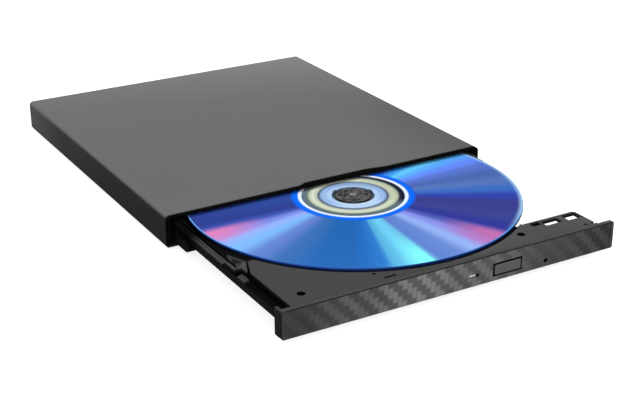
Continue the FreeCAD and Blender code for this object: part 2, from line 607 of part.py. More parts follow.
window = Piece("led_window", TRAY)
window.pad("bezel_front + led_in", BEZEL_BACK + " + 0.8", LED_FACE, axis="y")
window.pad(BEZEL_BACK, BEZEL_BACK + " + 0.8",
           rect("led_x - led_w/2 - 0.6", "led_z - 0.5",
                "led_x + led_w/2 + 0.6", "led_z + led_tall + 0.08"), axis="y")

# cap, flange and stem
button = Piece("eject_button", TRAY)
button.pad("bezel_front - 0.2", BEZEL_BACK + " + 0.1",
           rect("button_x - button_w/2", "button_mid - button_tall/2",
                "button_x + button_w/2", "button_mid + button_tall/2"), axis="y")
button.fillet(along_y, 0.5)
button.fillet(lambda box: at(box, y="bezel_front - 0.2"), 0.25)
button.pad(BEZEL_BACK + " + 0.1", BEZEL_BACK + " + 0.7",
           rect("button_x - button_w/2 - 1.15", "button_mid - button_tall/2 - 0.75",
                "button_x + button_w/2 + 1.15", "button_mid + button_tall/2 + 0.75"), axis="y")
button.pad(BEZEL_BACK + " + 0.7", BEZEL_BACK + " + 2.3",
           rect("button_x - 1.3", 4.7, "button_x + 1.3", 5.9), axis="y")

Piece("front_board", TRAY).pad("tray_z - front_board_t", "tray_z", rect(1.5, -67.9, 33.0, -61.6))

switch = Piece("tact_switch", TRAY)
switch.pad(3.6, "tray_z - front_board_t", rect("button_x - 3", -67.0, "button_x + 3", -63.4))
switch.pad(-67.35, -67.0, rect("button_x - 1", 4.7, "button_x + 1", 5.9), axis="y")

Piece("tray_connector", TRAY).pad(5.0, "tray_z", rect(48.6, 20.75, 58.8, 24.4))

undercover = Piece("tray_undercover", TRAY)
undercover.pad("under_z", "under_z + under_t",
               rect("skirt_left", "skirt_front", "skirt_right", "skirt_back"))
undercover.pocket("under_z - 0.1", "under_z + under_t + 0.1", *circles(POSTS, 1.3),
                  rect(-10.0, 8.0, 10.0, 10.0), rect(-10.0, 12.0, 10.0, 14.0))

post_screws = Piece("undercover_screws", TRAY)
post_screws.pad("under_z", "under_z + under_t", *circles(POSTS, 1.3))
post_screws.pad("under_z + under_t", 5.8, *circles(POSTS, 0.7))

# ---------------------------------------------------------------- eject latch

solenoid = Piece("latch_solenoid", TRAY)
solenoid.pad(2.8, "tray_z", rect(38.0, -59.7, 44.0, -50.5))
solenoid.pocket(-59.8, -51.5, circle("latch_x + tail_x", 4.6, 1.48), axis="y")

pivot = Piece("latch_pin", TRAY)
pivot.pad(2.4, 2.95, circle("latch_x", "latch_y", 1.6))
pivot.pad(2.95, 8.2, circle("latch_x", "latch_y", 0.8))

# drawn about its pivot, hooked, then turned to its released position
LEVER_OUTLINE = [("tail_x - 6.8", -0.65), (0.0, -0.7), (1.6, -0.7), (1.6, 6.1), (-4.1, 6.1),
                 (-4.1, 4.9), (-1.1, 4.9), (-1.1, 0.7), ("tail_x - 6.8", 0.65)]
lever = Piece("latch_lever", LEVER)
for shape in (LEVER_OUTLINE, centred(2.2), circle("tail_x", 0.0, 1.05)):
    lever.pad("lever_z", "lever_top", shape)
lever.pocket("lever_z - 0.1", "lever_top + 0.1", centred(0.86))

# block, two prongs either side of the lever's tail, and the round plunger
plunger = Piece("latch_plunger", PLUNGER)
plunger.pad(4.3, 6.0, rect(-1.4, -2.2, 1.4, 2.6))
plunger.pad(2.9, 4.3, rect(-0.7, -2.2, 0.7, -1.2), rect(-0.7, 1.2, 0.7, 2.2))
plunger.pad(2.2, 9.2, circle(0.0, 4.6, 1.4), axis="y")

# ---------------------------------------------------------------- traverse, about the spindle

Piece("pickup_window_plate", TRAVERSE).pad(
    "window_z", "window_z + 0.4", rect(-17.4, -66.4, 17.4, 15.9), centred(13.2),
    rect(-7.5, -63.5, 7.5, -17.5))

PLATE_OUTLINE = [
    (-19.6, 12.0), (-19.6, -26.5), (-25.5, -26.5), (-25.5, -33.5), (-19.6, -33.5),
    (-19.6, -60.0), (-15.0, -66.6), (16.6, -66.6), (16.6, -48.5), (22.5, -48.5),
    (22.5, -41.5), (16.6, -41.5), (16.6, 2.5), (22.5, 2.5), (22.5, 9.5), (16.6, 9.5),
    (16.6, 16.8), (-14.0, 16.8)]
Piece("traverse_plate", TRAVERSE).pad(
    "plate_z", "plate_top", PLATE_OUTLINE, centred("bell_r + 1"),
    rect(-7.6, -63.5, 7.6, -17.5), *circles(DAMPERS, 1.7))

bushes = Piece("damper_bushes", TRAVERSE)
bushes.pad("plate_z - 0.5", "plate_z", *circles(DAMPERS, 2.4))
bushes.pad("plate_z", "plate_top", *circles(DAMPERS, 1.7))
bushes.pad("plate_top", "plate_top + 0.2", *circles(DAMPERS, 2.4))
bushes.pocket("plate_z - 0.6", "plate_top + 0.3", *circles(DAMPERS, 0.8))

screws = Piece("damper_screws", TRAVERSE)
screws.pad("plate_z - 1.1", "plate_z - 0.5", *circles(DAMPERS, 1.6))
screws.pad("plate_z - 0.5", 7.7, *circles(DAMPERS, 0.8))

for name, rod_x in (("main", "rod_x"), ("sub", "-rod_x")):
    rod = Piece("guide_rod_" + name, TRAVERSE)
    rod.pad("rod_front", "rod_back", circle(rod_x, "rod_z", "rod_r"), axis="y")
    rod.chamfer(rod_end, 0.15)

clips = Piece("rod_clips", TRAVERSE)
for rod_x in ("rod_x", "-rod_x"):
    clips.pad(3.1, "plate_z", rect(rod_x + " - 1.6", -66.4, rod_x + " + 1.6", -64.3),
              rect(rod_x + " - 1.6", -12.2, rod_x + " + 1.6", "rod_back"))
for front, back in ((-66.5, -64.2), (-12.3, -9.9)):
    clips.pocket(front, back, circle("rod_x", "rod_z", "rod_r"),
                 circle("-rod_x", "rod_z", "rod_r"), axis="y")

# round motor with flats below and above, bored at the front for the lead screw
motor = Piece("feed_motor", TRAVERSE)
motor.pad(-11.0, 8.0, circle("lead_x", "rod_z", 2.4), axis="y")
motor.pocket(-11.1, 8.1, rect("lead_x - 3", "rod_z - 3", "lead_x + 3", "rod_z - 1.6"),
             rect("lead_x - 3", "rod_z + 1.6", "lead_x + 3", "rod_z + 3"), axis="y")
motor.pocket(-11.1, -8.8, circle("lead_x", "rod_z", 0.86), axis="y")

bearing = Piece("screw_bearing", TRAVERSE)
bearing.pad(3.2, "plate_z", rect("lead_x - 1.6", -59.2, "lead_x + 1.6", -57.0))
bearing.pocket(-59.3, -56.9, circle("lead_x", "rod_z", 0.86), axis="y")


def lead_screw(start=12.0, journal_r=0.8, turns=14):
    """A round bar with a helical groove, drawn along +Z and laid down along local -Y."""
    radius, pitch, groove = val("lead_r"), val("lead_pitch"), val("lead_groove")
    # the groove is phased to meet the follower
    phase = (val("lens_r - 6") - start - 0.25 * pitch) % pitch
    bar = Part.makeCylinder(radius, 43.7, Vector(0, 0, 0.8))
    bar = bar.fuse(Part.makeCylinder(journal_r, 3.8, Vector(0, 0, -3.0)))
    bar = bar.fuse(Part.makeCylinder(journal_r, 2.0, Vector(0, 0, 44.5)))
    helix = Part.makeHelix(pitch, turns * pitch, radius)
    helix.translate(Vector(0, 0, phase))
    inner, outer = radius - val("lead_depth"), radius + 0.3
    half_in, half_out = groove / 2, groove / 2 + 0.05
    section = [(inner, -half_in), (outer, -half_out), (outer, half_out), (inner, half_in),
               (inner, -half_in)]
    profile = Part.makePolygon([Vector(x, 0, phase + z) for x, z in section])
    cutter = Part.Wire(helix.Edges).makePipeShell([profile], True, True)
    lay = Placement(Vector(val("lead_x"), -start, val("rod_z")), Rotation(Vector(1, 0, 0), 90))
    screw = doc.addObject("Part::Feature", "lead_screw")
    screw.Label = "lead_screw"
    screw.Shape = bar.cut(cutter).transformed(lay.toMatrix(), True)
    PIECES.append((screw, TRAVERSE))


lead_screw()

# ---------------------------------------------------------------- spindle motor, hub and disc

# closed cup with a bearing tube
cup = Piece("spindle_base", TRAVERSE)
cup.pad(3.0, 3.6, centred("cup_r"))
cup.pad(3.6, "plate_z", centred("cup_r"), centred("cup_r - 0.6"))
cup.pad(3.6, 7.4, centred(2.6), centred("shaft_r + 0.04"))

stator = Piece("spindle_stator", TRAVERSE)
stator.pad(4.2, 6.8, centred(4.5), centred(2.6))
tooth = stator.pad(4.7, 6.3, rect(4.0, -0.7, 11.0, 0.7))
coil = stator.pad(4.3, 6.7, rect(5.4, -1.1, 9.6, 1.1))
stator.polar([tooth, coil], 9)

rotor = Piece("spindle_rotor", TRAVERSE)
rotor.pad(7.7, "hub_z", centred("bell_r"), centred("shaft_r"))
rotor.pad(4.2, 7.7, centred("bell_r"), centred("bell_r - 0.6"))
rotor.fillet(lambda box: at(box, z="hub_z") and box.XLength > 20, 0.35)

shaft = Piece("spindle_shaft", TRAVERSE)
shaft.pad("shaft_z", "shaft_top", centred("shaft_r"))
shaft.chamfer(lambda box: at(box, z="shaft_z") or at(box, z="shaft_top"), 0.15)

# turntable, collar, cap and a small crown
hub = Piece("disc_hub", HUB)
hub.pad("hub_z", "disc_z", centred("table_r"))
hub.pad("disc_z", "collar_top", centred("hub_r"))
hub.chamfer(lambda box: at(box, z="collar_top"), 0.4)
hub.pad("collar_top", "hub_top", centred("cap_r"))
hub.chamfer(lambda box: at(box, z="hub_top"), 0.25)
hub.pad("hub_top", "hub_top + 0.3", centred(1.5))
hub.chamfer(lambda box: at(box, z="hub_top + 0.3"), 0.2)
hub.pocket("hub_z - 0.1", "shaft_top", centred("shaft_r"))
hub.pocket("hub_top - 0.1", "hub_top + 0.4", centred(0.45))
# claw slot, inner slot and two round recesses, three times round
hub.polar([
    hub.pocket(9.6, "hub_top + 0.1", rect(4.9, -1.2, "hub_r + 0.5", 1.2)),
    hub.pocket("hub_top - 0.5", "hub_top + 0.1", rect(2.9, -0.9, 3.6, 0.9)),
    hub.pocket("hub_top - 1.0", "hub_top + 0.1", circle(4.1, 1.8, 0.62)),
    hub.pocket("hub_top - 1.0", "hub_top + 0.1", circle(4.1, -1.8, 0.62))], 3)

claws = Piece("hub_claws", HUB)
claw = claws.pad(9.65, 10.62, rect(5.0, -1.1, "hub_r - 0.1", 1.1))
nib = claws.pad(10.62, 10.85, rect(6.0, -0.9, "disc_hole + 0.2", 0.9))
claws.polar([claw, nib], 3)

# disc with a ring under it and a fine groove on top
disc = Piece("optical_disc", TRAVERSE)
disc.pad("disc_z", "disc_z + disc_t", centred("disc_r"), centred("disc_hole"))
disc.chamfer(lambda box: box.XLength > 100 and (at(box, z="disc_z + disc_t")
                                                or at(box, z="disc_z")), 0.12)
disc.pad("disc_z - 0.2", "disc_z", centred(17.8), centred(17.2))
disc.pocket("disc_z + disc_t - 0.06", "disc_z + disc_t + 0.1", centred(19.9), centred(19.5))

# ---------------------------------------------------------------- optical pickup

# block bored for the main rod, open-sided for the other, hollow below, with the laser's seat
SLED_ENDS = ("-lens_r - 5.6", "-lens_r + 8.6")
sled = Piece("pickup_sled", TRAVERSE)
sled.pad(3.0, "sled_top", rect(-14.6, "-lens_r - 5.5", 15.6, "-lens_r + 8.5"))
sled.pocket(*SLED_ENDS, circle("rod_x", "rod_z", "rod_r + 0.04"), axis="y")
sled.pocket(*SLED_ENDS, rect(-14.7, "rod_z - rod_r - 0.07", -11.8, "rod_z + rod_r + 0.07"),
            axis="y")
sled.pocket(2.9, 4.4, rect(-8.0, "-lens_r - 3.0", 8.0, "-lens_r + 6.0"))
sled.pocket("-lens_r - 5.6", "-lens_r - 3.5", circle(4.0, "rod_z", 1.2), axis="y")

Piece("laser_diode", TRAVERSE).pad("-lens_r - 5.9", "-lens_r - 3.5", circle(4.0, "rod_z", 1.2),
                                   axis="y")

# arm, mounting leg and the peg over the lead screw
follower = Piece("screw_follower", TRAVERSE)
follower.pad(5.72, 5.95, rect("lead_x - 0.8", "-lens_r + 3.5", -14.6, "-lens_r + 8.5"))
follower.pad(4.8, 5.72, rect(-15.3, "-lens_r + 3.5", -14.6, "-lens_r + 8.5"))
follower.pad(5.3, 5.72, circle("lead_x", "-lens_r + 6", 0.3))

yoke = Piece("actuator_yoke", TRAVERSE)
yoke.pad("sled_top", "sled_top + 0.25", rect(-6.5, "-lens_r - 4.5", 6.5, "-lens_r + 4.5"))
yoke.pad("sled_top + 0.25", 7.9, rect(-5.0, "-lens_r - 4.5", 5.0, "-lens_r - 3.2"),
         rect(-5.0, "-lens_r + 3.2", 5.0, "-lens_r + 4.5"))

holder = Piece("lens_holder", TRAVERSE)
holder.pad(6.5, 8.2, rect(-3.6, "-lens_r - 2.7", 3.6, "-lens_r + 2.7"))
holder.pocket(6.4, 8.3, circle(0.0, "-lens_r", 1.8))
holder.pocket(7.9, 8.3, circle(0.0, "-lens_r", 2.3))
# the four upright corners; the bore's seam is shorter
holder.fillet(lambda box: box.ZLength > 1.5 and box.XLength < 0.01 and box.YLength < 0.01, 0.5)

# (radius, z) half section
Piece("objective_lens", LENS).revolve([
    (0.0, 7.9), (2.3, 7.9), (2.3, 8.15), (2.0, 8.36), (1.5, 8.55), (0.9, 8.66), (0.0, 8.7)])

# ---------------------------------------------------------------- place, check and write

for piece, frame in PIECES:
    place(piece, frame)
doc.recompute()
for obj in doc.Objects:
    if "Invalid" in obj.State or "Error" in obj.State:
        raise RuntimeError("%s is in state %s" % (obj.Label, obj.State))
os.makedirs("parts", exist_ok=True)
for piece, _ in PIECES:
    if piece.Shape.isNull() or not piece.Shape.isValid():
        raise RuntimeError("%s has no valid shape" % piece.Label)
    piece.Shape.exportStep(os.path.join("parts", piece.Label + ".step"))
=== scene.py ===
"""A slim disc drive with its tray out and a disc on the hub.

Metres, +Z up, X across. The bezel faces -Y, the tray slides out toward -Y and the case
stands behind it, toward +Y.
"""
import bpy
import bmesh
import json
import math
from functools import cached_property
from mathutils import Vector, Matrix


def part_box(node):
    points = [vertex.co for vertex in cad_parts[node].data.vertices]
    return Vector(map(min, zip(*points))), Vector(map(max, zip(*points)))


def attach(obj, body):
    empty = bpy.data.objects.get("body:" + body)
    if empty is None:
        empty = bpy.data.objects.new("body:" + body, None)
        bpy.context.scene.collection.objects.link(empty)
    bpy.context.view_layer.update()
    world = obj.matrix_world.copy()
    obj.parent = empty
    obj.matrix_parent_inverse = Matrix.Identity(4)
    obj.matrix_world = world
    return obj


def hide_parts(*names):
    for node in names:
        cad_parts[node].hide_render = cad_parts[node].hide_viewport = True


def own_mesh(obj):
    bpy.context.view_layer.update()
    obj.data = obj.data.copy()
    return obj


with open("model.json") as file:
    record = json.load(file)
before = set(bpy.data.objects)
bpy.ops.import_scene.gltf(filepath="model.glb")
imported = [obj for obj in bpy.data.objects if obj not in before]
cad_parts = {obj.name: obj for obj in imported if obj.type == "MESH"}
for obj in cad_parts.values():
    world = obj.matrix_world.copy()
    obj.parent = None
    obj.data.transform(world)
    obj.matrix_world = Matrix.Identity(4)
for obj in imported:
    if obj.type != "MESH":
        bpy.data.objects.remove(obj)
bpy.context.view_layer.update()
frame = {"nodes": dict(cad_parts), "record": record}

NODES = frame["nodes"]
MM = 0.001


# ---------------------------------------------------------------- colours

def srgb(*levels):
    """Display levels of 0 to 255 as a linear colour."""
    shares = [level / 255.0 for level in levels]
    return tuple(s / 12.92 if s <= 0.04045 else ((s + 0.055) / 1.055) ** 2.4 for s in shares)


def grey(level):
    return (level,) * 3


def scaled(colour, factor):
    return tuple(min(1.0, c * factor) for c in colour)


def greys(table, scale=1.0):
    """Ramp stops from rows of (position, grey level), the levels times scale."""
    return [(position, grey(scale * level)) for position, level in table]


def centre(part):
    """Middle of a part's box in plan."""
    low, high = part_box(part)
    return (low.x + high.x) / 2, (low.y + high.y) / 2


# ---------------------------------------------------------------- shader graphs

class Value:
    """A shader output. Each operator on it adds one Math node."""

    def __init__(self, graph, socket):
        self.graph = graph
        self.socket = socket

    def __add__(self, other):
        return self.graph.math("ADD", self, other)

    def __sub__(self, other):
        return self.graph.math("SUBTRACT", self, other)

    def __rsub__(self, other):
        return self.graph.math("SUBTRACT", other, self)

    def __mul__(self, other):
        return self.graph.math("MULTIPLY", self, other)

    def __truediv__(self, other):
        return self.graph.math("DIVIDE", self, other)

    def __lt__(self, other):
        return self.graph.math("LESS_THAN", self, other)

    def __gt__(self, other):
        return self.graph.math("GREATER_THAN", self, other)

    def __abs__(self):
        return self.graph.math("ABSOLUTE", self)


class Graph:
    """An emptied node tree and the means to fill it."""

    def __init__(self, owner):
        owner.use_nodes = True
        self.tree = owner.node_tree
        self.tree.nodes.clear()

    def set(self, node, key, value):
        socket = node.inputs[key]
        if isinstance(value, Value):
            self.tree.links.new(value.socket, socket)
        elif socket.type == "RGBA" and len(value) == 3:
            socket.default_value = tuple(value) + (1.0,)
        else:
            socket.default_value = value

    def node(self, kind, inputs=(), **settings):
        """A node with its inputs given in order, or as a dict by index or name."""
        node = self.tree.nodes.new("ShaderNode" + kind)
        for key, value in settings.items():
            setattr(node, key, value)
        for key, value in inputs.items() if isinstance(inputs, dict) else enumerate(inputs):
            self.set(node, key, value)
        return node

    def value(self, kind, inputs=(), output=0, **settings):
        return Value(self, self.node(kind, inputs, **settings).outputs[output])

    def math(self, operation, a, b=0.0, c=0.0):
        return self.value("Math", (a, b, c), operation=operation)

    def max(self, a, b):
        return self.math("MAXIMUM", a, b)

    def split(self, vector):
        return tuple(Value(self, s) for s in self.node("SeparateXYZ", (vector,)).outputs)

    def band(self, value, start, end, low=0.0, high=1.0, smooth=False):
        """Maps value from start..end to low..high, clamped."""
        return self.value("MapRange", (value, start, end, low, high),
                          interpolation_type="SMOOTHSTEP" if smooth else "LINEAR")

    def band_mm(self, value, start, end, *levels, **options):
        """The same for a length, with start and end in millimetres."""
        return self.band(value, start * MM, end * MM, *levels, **options)

    def vary(self, noise, low, high):
        """Spreads the middle of a noise over low..high."""
        return self.band(noise, 0.3, 0.7, low, high)

    def switch(self, mask, off, on):
        """Goes from off to on as the mask goes from 0 to 1."""
        return self.band(mask, 0.0, 1.0, off, on)


class Material(Graph):
    """A Principled material, patterned in the object's own coordinates."""

    def __init__(self, name):
        self.data = bpy.data.materials.new(name)
        super().__init__(self.data)
        self.surface = self.node("BsdfPrincipled")
        self.node("OutputMaterial", (Value(self, self.surface.outputs[0]),))
        self.place = self.value("TexCoord", output="Object")

    @cached_property
    def xyz(self):
        return self.split(self.place)

    def normal(self):
        return self.split(self.value("NewGeometry", output="Normal"))

    def noise(self, scale, detail=2.0, rough=0.5, stretch=None):
        place = self.place
        if stretch:
            place = self.value("VectorMath", (place, stretch), operation="MULTIPLY")
        return self.value("TexNoise", {"Vector": place, "Scale": scale, "Detail": detail,
                                       "Roughness": rough})

    def ramp(self, value, stops, interpolation="LINEAR"):
        node = self.node("ValToRGB", (value,))
        ramp = node.color_ramp
        ramp.interpolation = interpolation
        while len(ramp.elements) > 1:
            ramp.elements.remove(ramp.elements[0])
        for i, (position, colour) in enumerate(stops):
            element = ramp.elements[0] if i == 0 else ramp.elements.new(position)
            element.position = position
            element.color = colour + (1.0,)
        return Value(self, node.outputs[0])

    def mix(self, amount, base, over):
        return self.value("Mix", {0: amount, 6: base, 7: over}, output=2, data_type="RGBA")

    def bump(self, height, strength, depth, normal=None):
        """Relief over a normal, its depth in millimetres."""
        inputs = {"Strength": strength, "Distance": depth * MM, "Height": height}
        if normal is not None:
            inputs["Normal"] = normal
        return self.value("Bump", inputs)

    def soft_edges(self, radius, samples=4):
        """A normal that rounds the edges, the radius in millimetres."""
        return self.value("Bevel", {"Radius": radius * MM}, samples=samples)

    def offset(self, u, v):
        """Distances in x and y from a point given in metres."""
        x, y, z = self.xyz
        return x - u, y - v

    def length(self, dx, dy):
        return self.math("SQRT", dx * dx + dy * dy)

    def spot(self, u, v, radius, soft):
        """1 inside a round spot about (u, v) in plan, all in millimetres."""
        distance = self.length(*self.offset(u * MM, v * MM))
        return self.band_mm(distance, radius + soft / 2, radius - soft / 2)

    def patch(self, points, soft, grow=0.0):
        """1 inside a convex outline, given anticlockwise in millimetres, fading over soft."""
        x, y, z = self.xyz
        inside = None
        for (ax, ay), (bx, by) in zip(points, points[1:] + points[:1]):
            side = math.hypot(bx - ax, by - ay)
            nx, ny = -(by - ay) / side, (bx - ax) / side
            shift = -(nx * ax + ny * ay) * MM
            distance = x * nx + self.math("MULTIPLY_ADD", y, ny, shift)
            edge = self.band_mm(distance, -grow - soft / 2, -grow + soft / 2)
            inside = edge if inside is None else inside * edge
        return inside

    def finish(self, **inputs):
        """Sets the surface inputs, underscores standing for spaces."""
        for key, value in inputs.items():
            self.set(self.surface, key.replace("_", " "), value)
        return self.data


# ---------------------------------------------------------------- plain plastics and metals

def moulded(name, colour, rough=0.55, grain=2600.0, depth=0.04, var=0.12, edge=0.2, spec=0.5):
    """Injection-moulded plastic: fine spark texture, slow tone variation, softened edges.

    grain is the texture's scale, depth its relief in mm, var the tone variation and
    edge the radius of the softened edges in mm.
    """
    mat = Material(name)
    slow = mat.noise(55.0, detail=3.0, rough=0.6)
    fine = mat.noise(grain, rough=0.6)
    colours = mat.mix(slow, scaled(colour, 1 - var), scaled(colour, 1 + var))
    colours = mat.mix(fine * 0.25, colours, scaled(colour, 0.75))
    return mat.finish(
        Base_Color=colours, Roughness=mat.vary(slow, rough - 0.05, rough + 0.05),
        Specular_IOR_Level=spec,
        Normal=mat.bump(fine, strength=0.35, depth=depth, normal=mat.soft_edges(edge)))


def metal(name, colour, rough=0.3, stretch=(1.0, 1.0, 1.0), scale=900.0, var=0.1):
    """Sheet or turned metal: brushed lines of a given stretch and scale, with faint stains."""
    mat = Material(name)
    lines = mat.noise(scale, detail=3.0, rough=0.65, stretch=stretch)
    stain = mat.noise(60.0, detail=3.0, rough=0.55)
    colours = mat.mix(lines, scaled(colour, 1 - var), colour)
    colours = mat.mix(mat.band(stain, 0.45, 0.8, 0.0, 0.35), colours, scaled(colour, 0.7))
    return mat.finish(
        Base_Color=colours, Metallic=1.0,
        Roughness=mat.band(lines, 0.25, 0.75, rough - 0.08, rough + 0.1),
        Normal=mat.bump(lines, strength=0.12, depth=0.03,
                        normal=mat.soft_edges(0.1, samples=2)))


# slot: (material name, linear colour, options of moulded)
PLASTICS = {
    "case_black": ("base_black", (0.018, 0.018, 0.019), dict(rough=0.5)),
    "feet_rubber": ("feet_rubber", (0.02, 0.02, 0.02),
                    dict(rough=0.85, grain=1500.0, depth=0.08, var=0.2)),
    "circuit_board": ("solder_mask", (0.012, 0.10, 0.045),
                      dict(rough=0.32, grain=900.0, depth=0.02, var=0.3)),
    "chip_black": ("chip_epoxy", (0.02, 0.02, 0.021), dict(rough=0.6, grain=3800.0)),
    "connector_black": ("connector_nylon", (0.022, 0.022, 0.024), dict(rough=0.5)),
    "pan_black": ("coated_sheet", (0.010, 0.010, 0.0105),
                  dict(rough=0.5, grain=1800.0, depth=0.02, var=0.1, edge=0.1, spec=0.2)),
    "guide_plastic": ("slide_acetal", (0.014, 0.014, 0.0145), dict(rough=0.45, spec=0.3)),
    "rail_black": ("rail_acetal", (0.007, 0.007, 0.007), dict(rough=0.5, spec=0.15)),
    "window_plate_black": ("window_plate_coat", (0.015, 0.015, 0.016), dict(rough=0.4)),
    "damper_rubber": ("damper_rubber", (0.03, 0.03, 0.03), dict(rough=0.8, grain=1500.0)),
    "claw_plastic": ("claw_acetal", (0.045, 0.055, 0.072), dict(rough=0.45, spec=0.1)),
    "holder_black": ("lens_holder", (0.02, 0.02, 0.022), dict(rough=0.45)),
    "lever_plastic": ("lever_acetal", (0.62, 0.61, 0.58), dict(rough=0.4, var=0.05)),
}

# slot: (material name, linear colour, options of metal)
METALS = {
    "screw_black": ("screw_black_oxide", (0.06, 0.06, 0.065), dict(rough=0.38)),
    "connector_metal": ("plated_shell", (0.62, 0.62, 0.64),
                        dict(rough=0.26, stretch=(1.0, 0.06, 1.0))),
    "pan_steel": ("galvanised_sheet", (0.50, 0.51, 0.52),
                  dict(rough=0.36, stretch=(1.0, 0.04, 1.0), scale=700.0, var=0.2)),
    "screw_steel": ("screw_zinc", (0.62, 0.61, 0.58), dict(rough=0.28)),
    "pin_steel": ("pin_steel", (0.6, 0.6, 0.61), dict(rough=0.2, stretch=(1.0, 1.0, 0.05))),
    "solenoid_body": ("solenoid_can", (0.25, 0.25, 0.26), dict(rough=0.35)),
    "rod_steel": ("ground_rod", (0.72, 0.72, 0.73),
                  dict(rough=0.12, stretch=(1.0, 0.1, 1.0), scale=1400.0)),
    "motor_can": ("motor_can", (0.55, 0.55, 0.57), dict(rough=0.24, stretch=(1.0, 1.0, 0.05))),
    "stator_copper": ("enamelled_copper", (0.62, 0.25, 0.10),
                      dict(rough=0.3, stretch=(1.0, 1.0, 12.0), scale=1800.0, var=0.35)),
    "lead_brass": ("rolled_brass", (0.62, 0.45, 0.18), dict(rough=0.25)),
    "sled_metal": ("cast_zinc", (0.42, 0.42, 0.44), dict(rough=0.42, scale=500.0)),
    "diode_brass": ("diode_can", (0.72, 0.54, 0.22), dict(rough=0.2)),
    "yoke_steel": ("yoke_plate", (0.4, 0.4, 0.41), dict(rough=0.3)),
}


# ---------------------------------------------------------------- case lid

LID, WALL_SHADE = 0.146, 0.028  # grey of the lid's top, and the darker grey of its upright walls, painted shade
# (share of the way to the rear, factor on the grey); painted sheen on the top and painted light
# on the walls, paler toward the rear
LID_TOP_SHEEN = [(0.0, 0.88), (0.35, 0.94), (0.6, 0.99), (0.8, 1.2), (1.0, 1.6)]
LID_WALL_LIGHT = [(0.0, 0.8), (0.4, 1.25), (0.75, 2.6), (1.0, 6.4)]


def lid_satin():
    """Satin coat over dark sheet, slightly orange-peeled, in painted light: sheen paler toward
    the rear, shade on the walls, the front right corner, the front lip and inside.
    """
    mat = Material("lid_satin")
    x, y, z = mat.xyz
    fine = mat.noise(5200.0, rough=0.6)
    peel = mat.noise(420.0)
    slow = mat.noise(14.0)

    # painted sheen on the top and painted light and shade on the walls, both paler toward the
    # rear
    top = mat.ramp(mat.band_mm(x * 0.35 + y, -70, 95), greys(LID_TOP_SHEEN, LID))
    wall = mat.ramp(mat.band_mm(y, -72, 72), greys(LID_WALL_LIGHT, WALL_SHADE))
    col = mat.mix(mat.band(mat.normal()[2], 0.35, 0.8, smooth=True), wall, top)
    col = mat.mix(slow * 0.10, col, (0.05, 0.05, 0.052))
    # painted shade: the front right corner falls off darker
    corner_shade = mat.band_mm(x, 30, 66, smooth=True) * mat.band_mm(y, 20, -30, smooth=True)
    col = mat.mix(corner_shade * 0.26, col, grey(0.02))

    # painted shade on the front lip and the gap under it, slightly askew and set forward about
    # the middle, with a painted highlight along a pale fold line
    relief = mat.band_mm(x, -13.5, -9.5, smooth=True) * mat.band_mm(x, 26, 14, smooth=True)
    lip_y = mat.math("MULTIPLY_ADD", x, -0.007, y) + relief * (-1.5 * MM)
    lip_shade = mat.band_mm(lip_y, -69.7, -71.0, smooth=True) * mat.band_mm(abs(x), 66.9, 66.3)
    fold_highlight = mat.band_mm(abs(y + 70.9 * MM), 0.45, 0.15) * mat.band_mm(x, -26, -44, 0.0, 0.16)
    col = mat.mix(lip_shade, col, mat.mix(fold_highlight, (0.0035, 0.0035, 0.0033), grey(LID)))

    # painted shade inside the mouth, below the cover
    inside = mat.band_mm(z, 11.7, 11.5) * (abs(x) < 65.0 * MM)
    col = mat.mix(inside * 0.93, col, grey(0.006))
    return mat.finish(
        Base_Color=col, Roughness=mat.vary(slow, 0.42, 0.48),
        Specular_IOR_Level=mat.switch(lip_shade, off=0.35, on=0.0),
        Normal=mat.bump(fine * 0.35 + peel, strength=0.10, depth=0.06,
                        normal=mat.soft_edges(0.3)))


# ---------------------------------------------------------------- hub, lens, cable

def hub_moulding():
    """Mottled dark moulding with a pale centre, a painted highlight, and a dark rim, painted
    shade, bluish low down outside.
    """
    mat = Material("hub_moulding")
    z = mat.xyz[2]
    radius = mat.length(*mat.offset(*centre("disc_hub"))) * (1 / MM)
    mottle = mat.noise(620.0)
    col = mat.mix(mat.band(mottle, 0.36, 0.50), (0.012, 0.012, 0.013), (0.098, 0.096, 0.092))
    # painted highlight on the centre dome
    col = mat.mix(mat.band(radius, 1.5, 0.9), col, (0.24, 0.238, 0.235))
    # painted shade at the hub's rim
    col = mat.mix(mat.band(radius, 6.2, 6.45), col, (0.012, 0.013, 0.016))
    foot = mat.band_mm(z, 10.35, 10.25) * mat.band(radius, 6.6, 6.8)
    col = mat.mix(foot, col, (0.10, 0.14, 0.20))
    return mat.finish(Base_Color=col, Roughness=mat.vary(mottle, 0.45, 0.55),
                      Specular_IOR_Level=0.15, Normal=mat.soft_edges(0.2))


def lens_coated():
    mat = Material("lens_coated")
    return mat.finish(
        Base_Color=(0.75, 0.85, 1.0), Roughness=mat.vary(mat.noise(300.0), 0.01, 0.04),
        Transmission_Weight=1.0, IOR=1.52)


TRACK_PITCH = 0.5 * MM


def ribbon_film():
    """Pale film with conductors running along Y."""
    mat = Material("ribbon_film")
    tracks = mat.band(mat.math("FRACT", mat.xyz[0] * (1 / TRACK_PITCH)), 0.35, 0.45)
    return mat.finish(
        Base_Color=mat.mix(tracks, (0.62, 0.60, 0.55), (0.74, 0.73, 0.69)), Roughness=0.35,
        Normal=mat.bump(tracks, strength=0.2, depth=0.03))


# ---------------------------------------------------------------- tray

LAND = 0.058      # grey of the tray's flat land
SHADE = 0.0035    # grey of its darkest places
# (share of the way from left to right, factor on the land's grey); painted light and shade,
# darker on the left
LAND_LIGHTING = [(0.0, 0.54), (0.42, 0.55), (0.60, 1.12), (0.7, 1.1), (0.8, 1.0), (0.84, 1.0),
              (1.0, 1.42)]
TRAY_HOLES = [(-52.1, -141.1, 1.4), (-25.9, -141.0, 0.6), (32.0, -140.9, 1.4)]  # x, y, radius
TRAY_BLOCK = [(-62.0, -112.2), (-59.6, -117.6), (-56.2, -112.6), (-59.2, -105.0)]  # x, y in mm


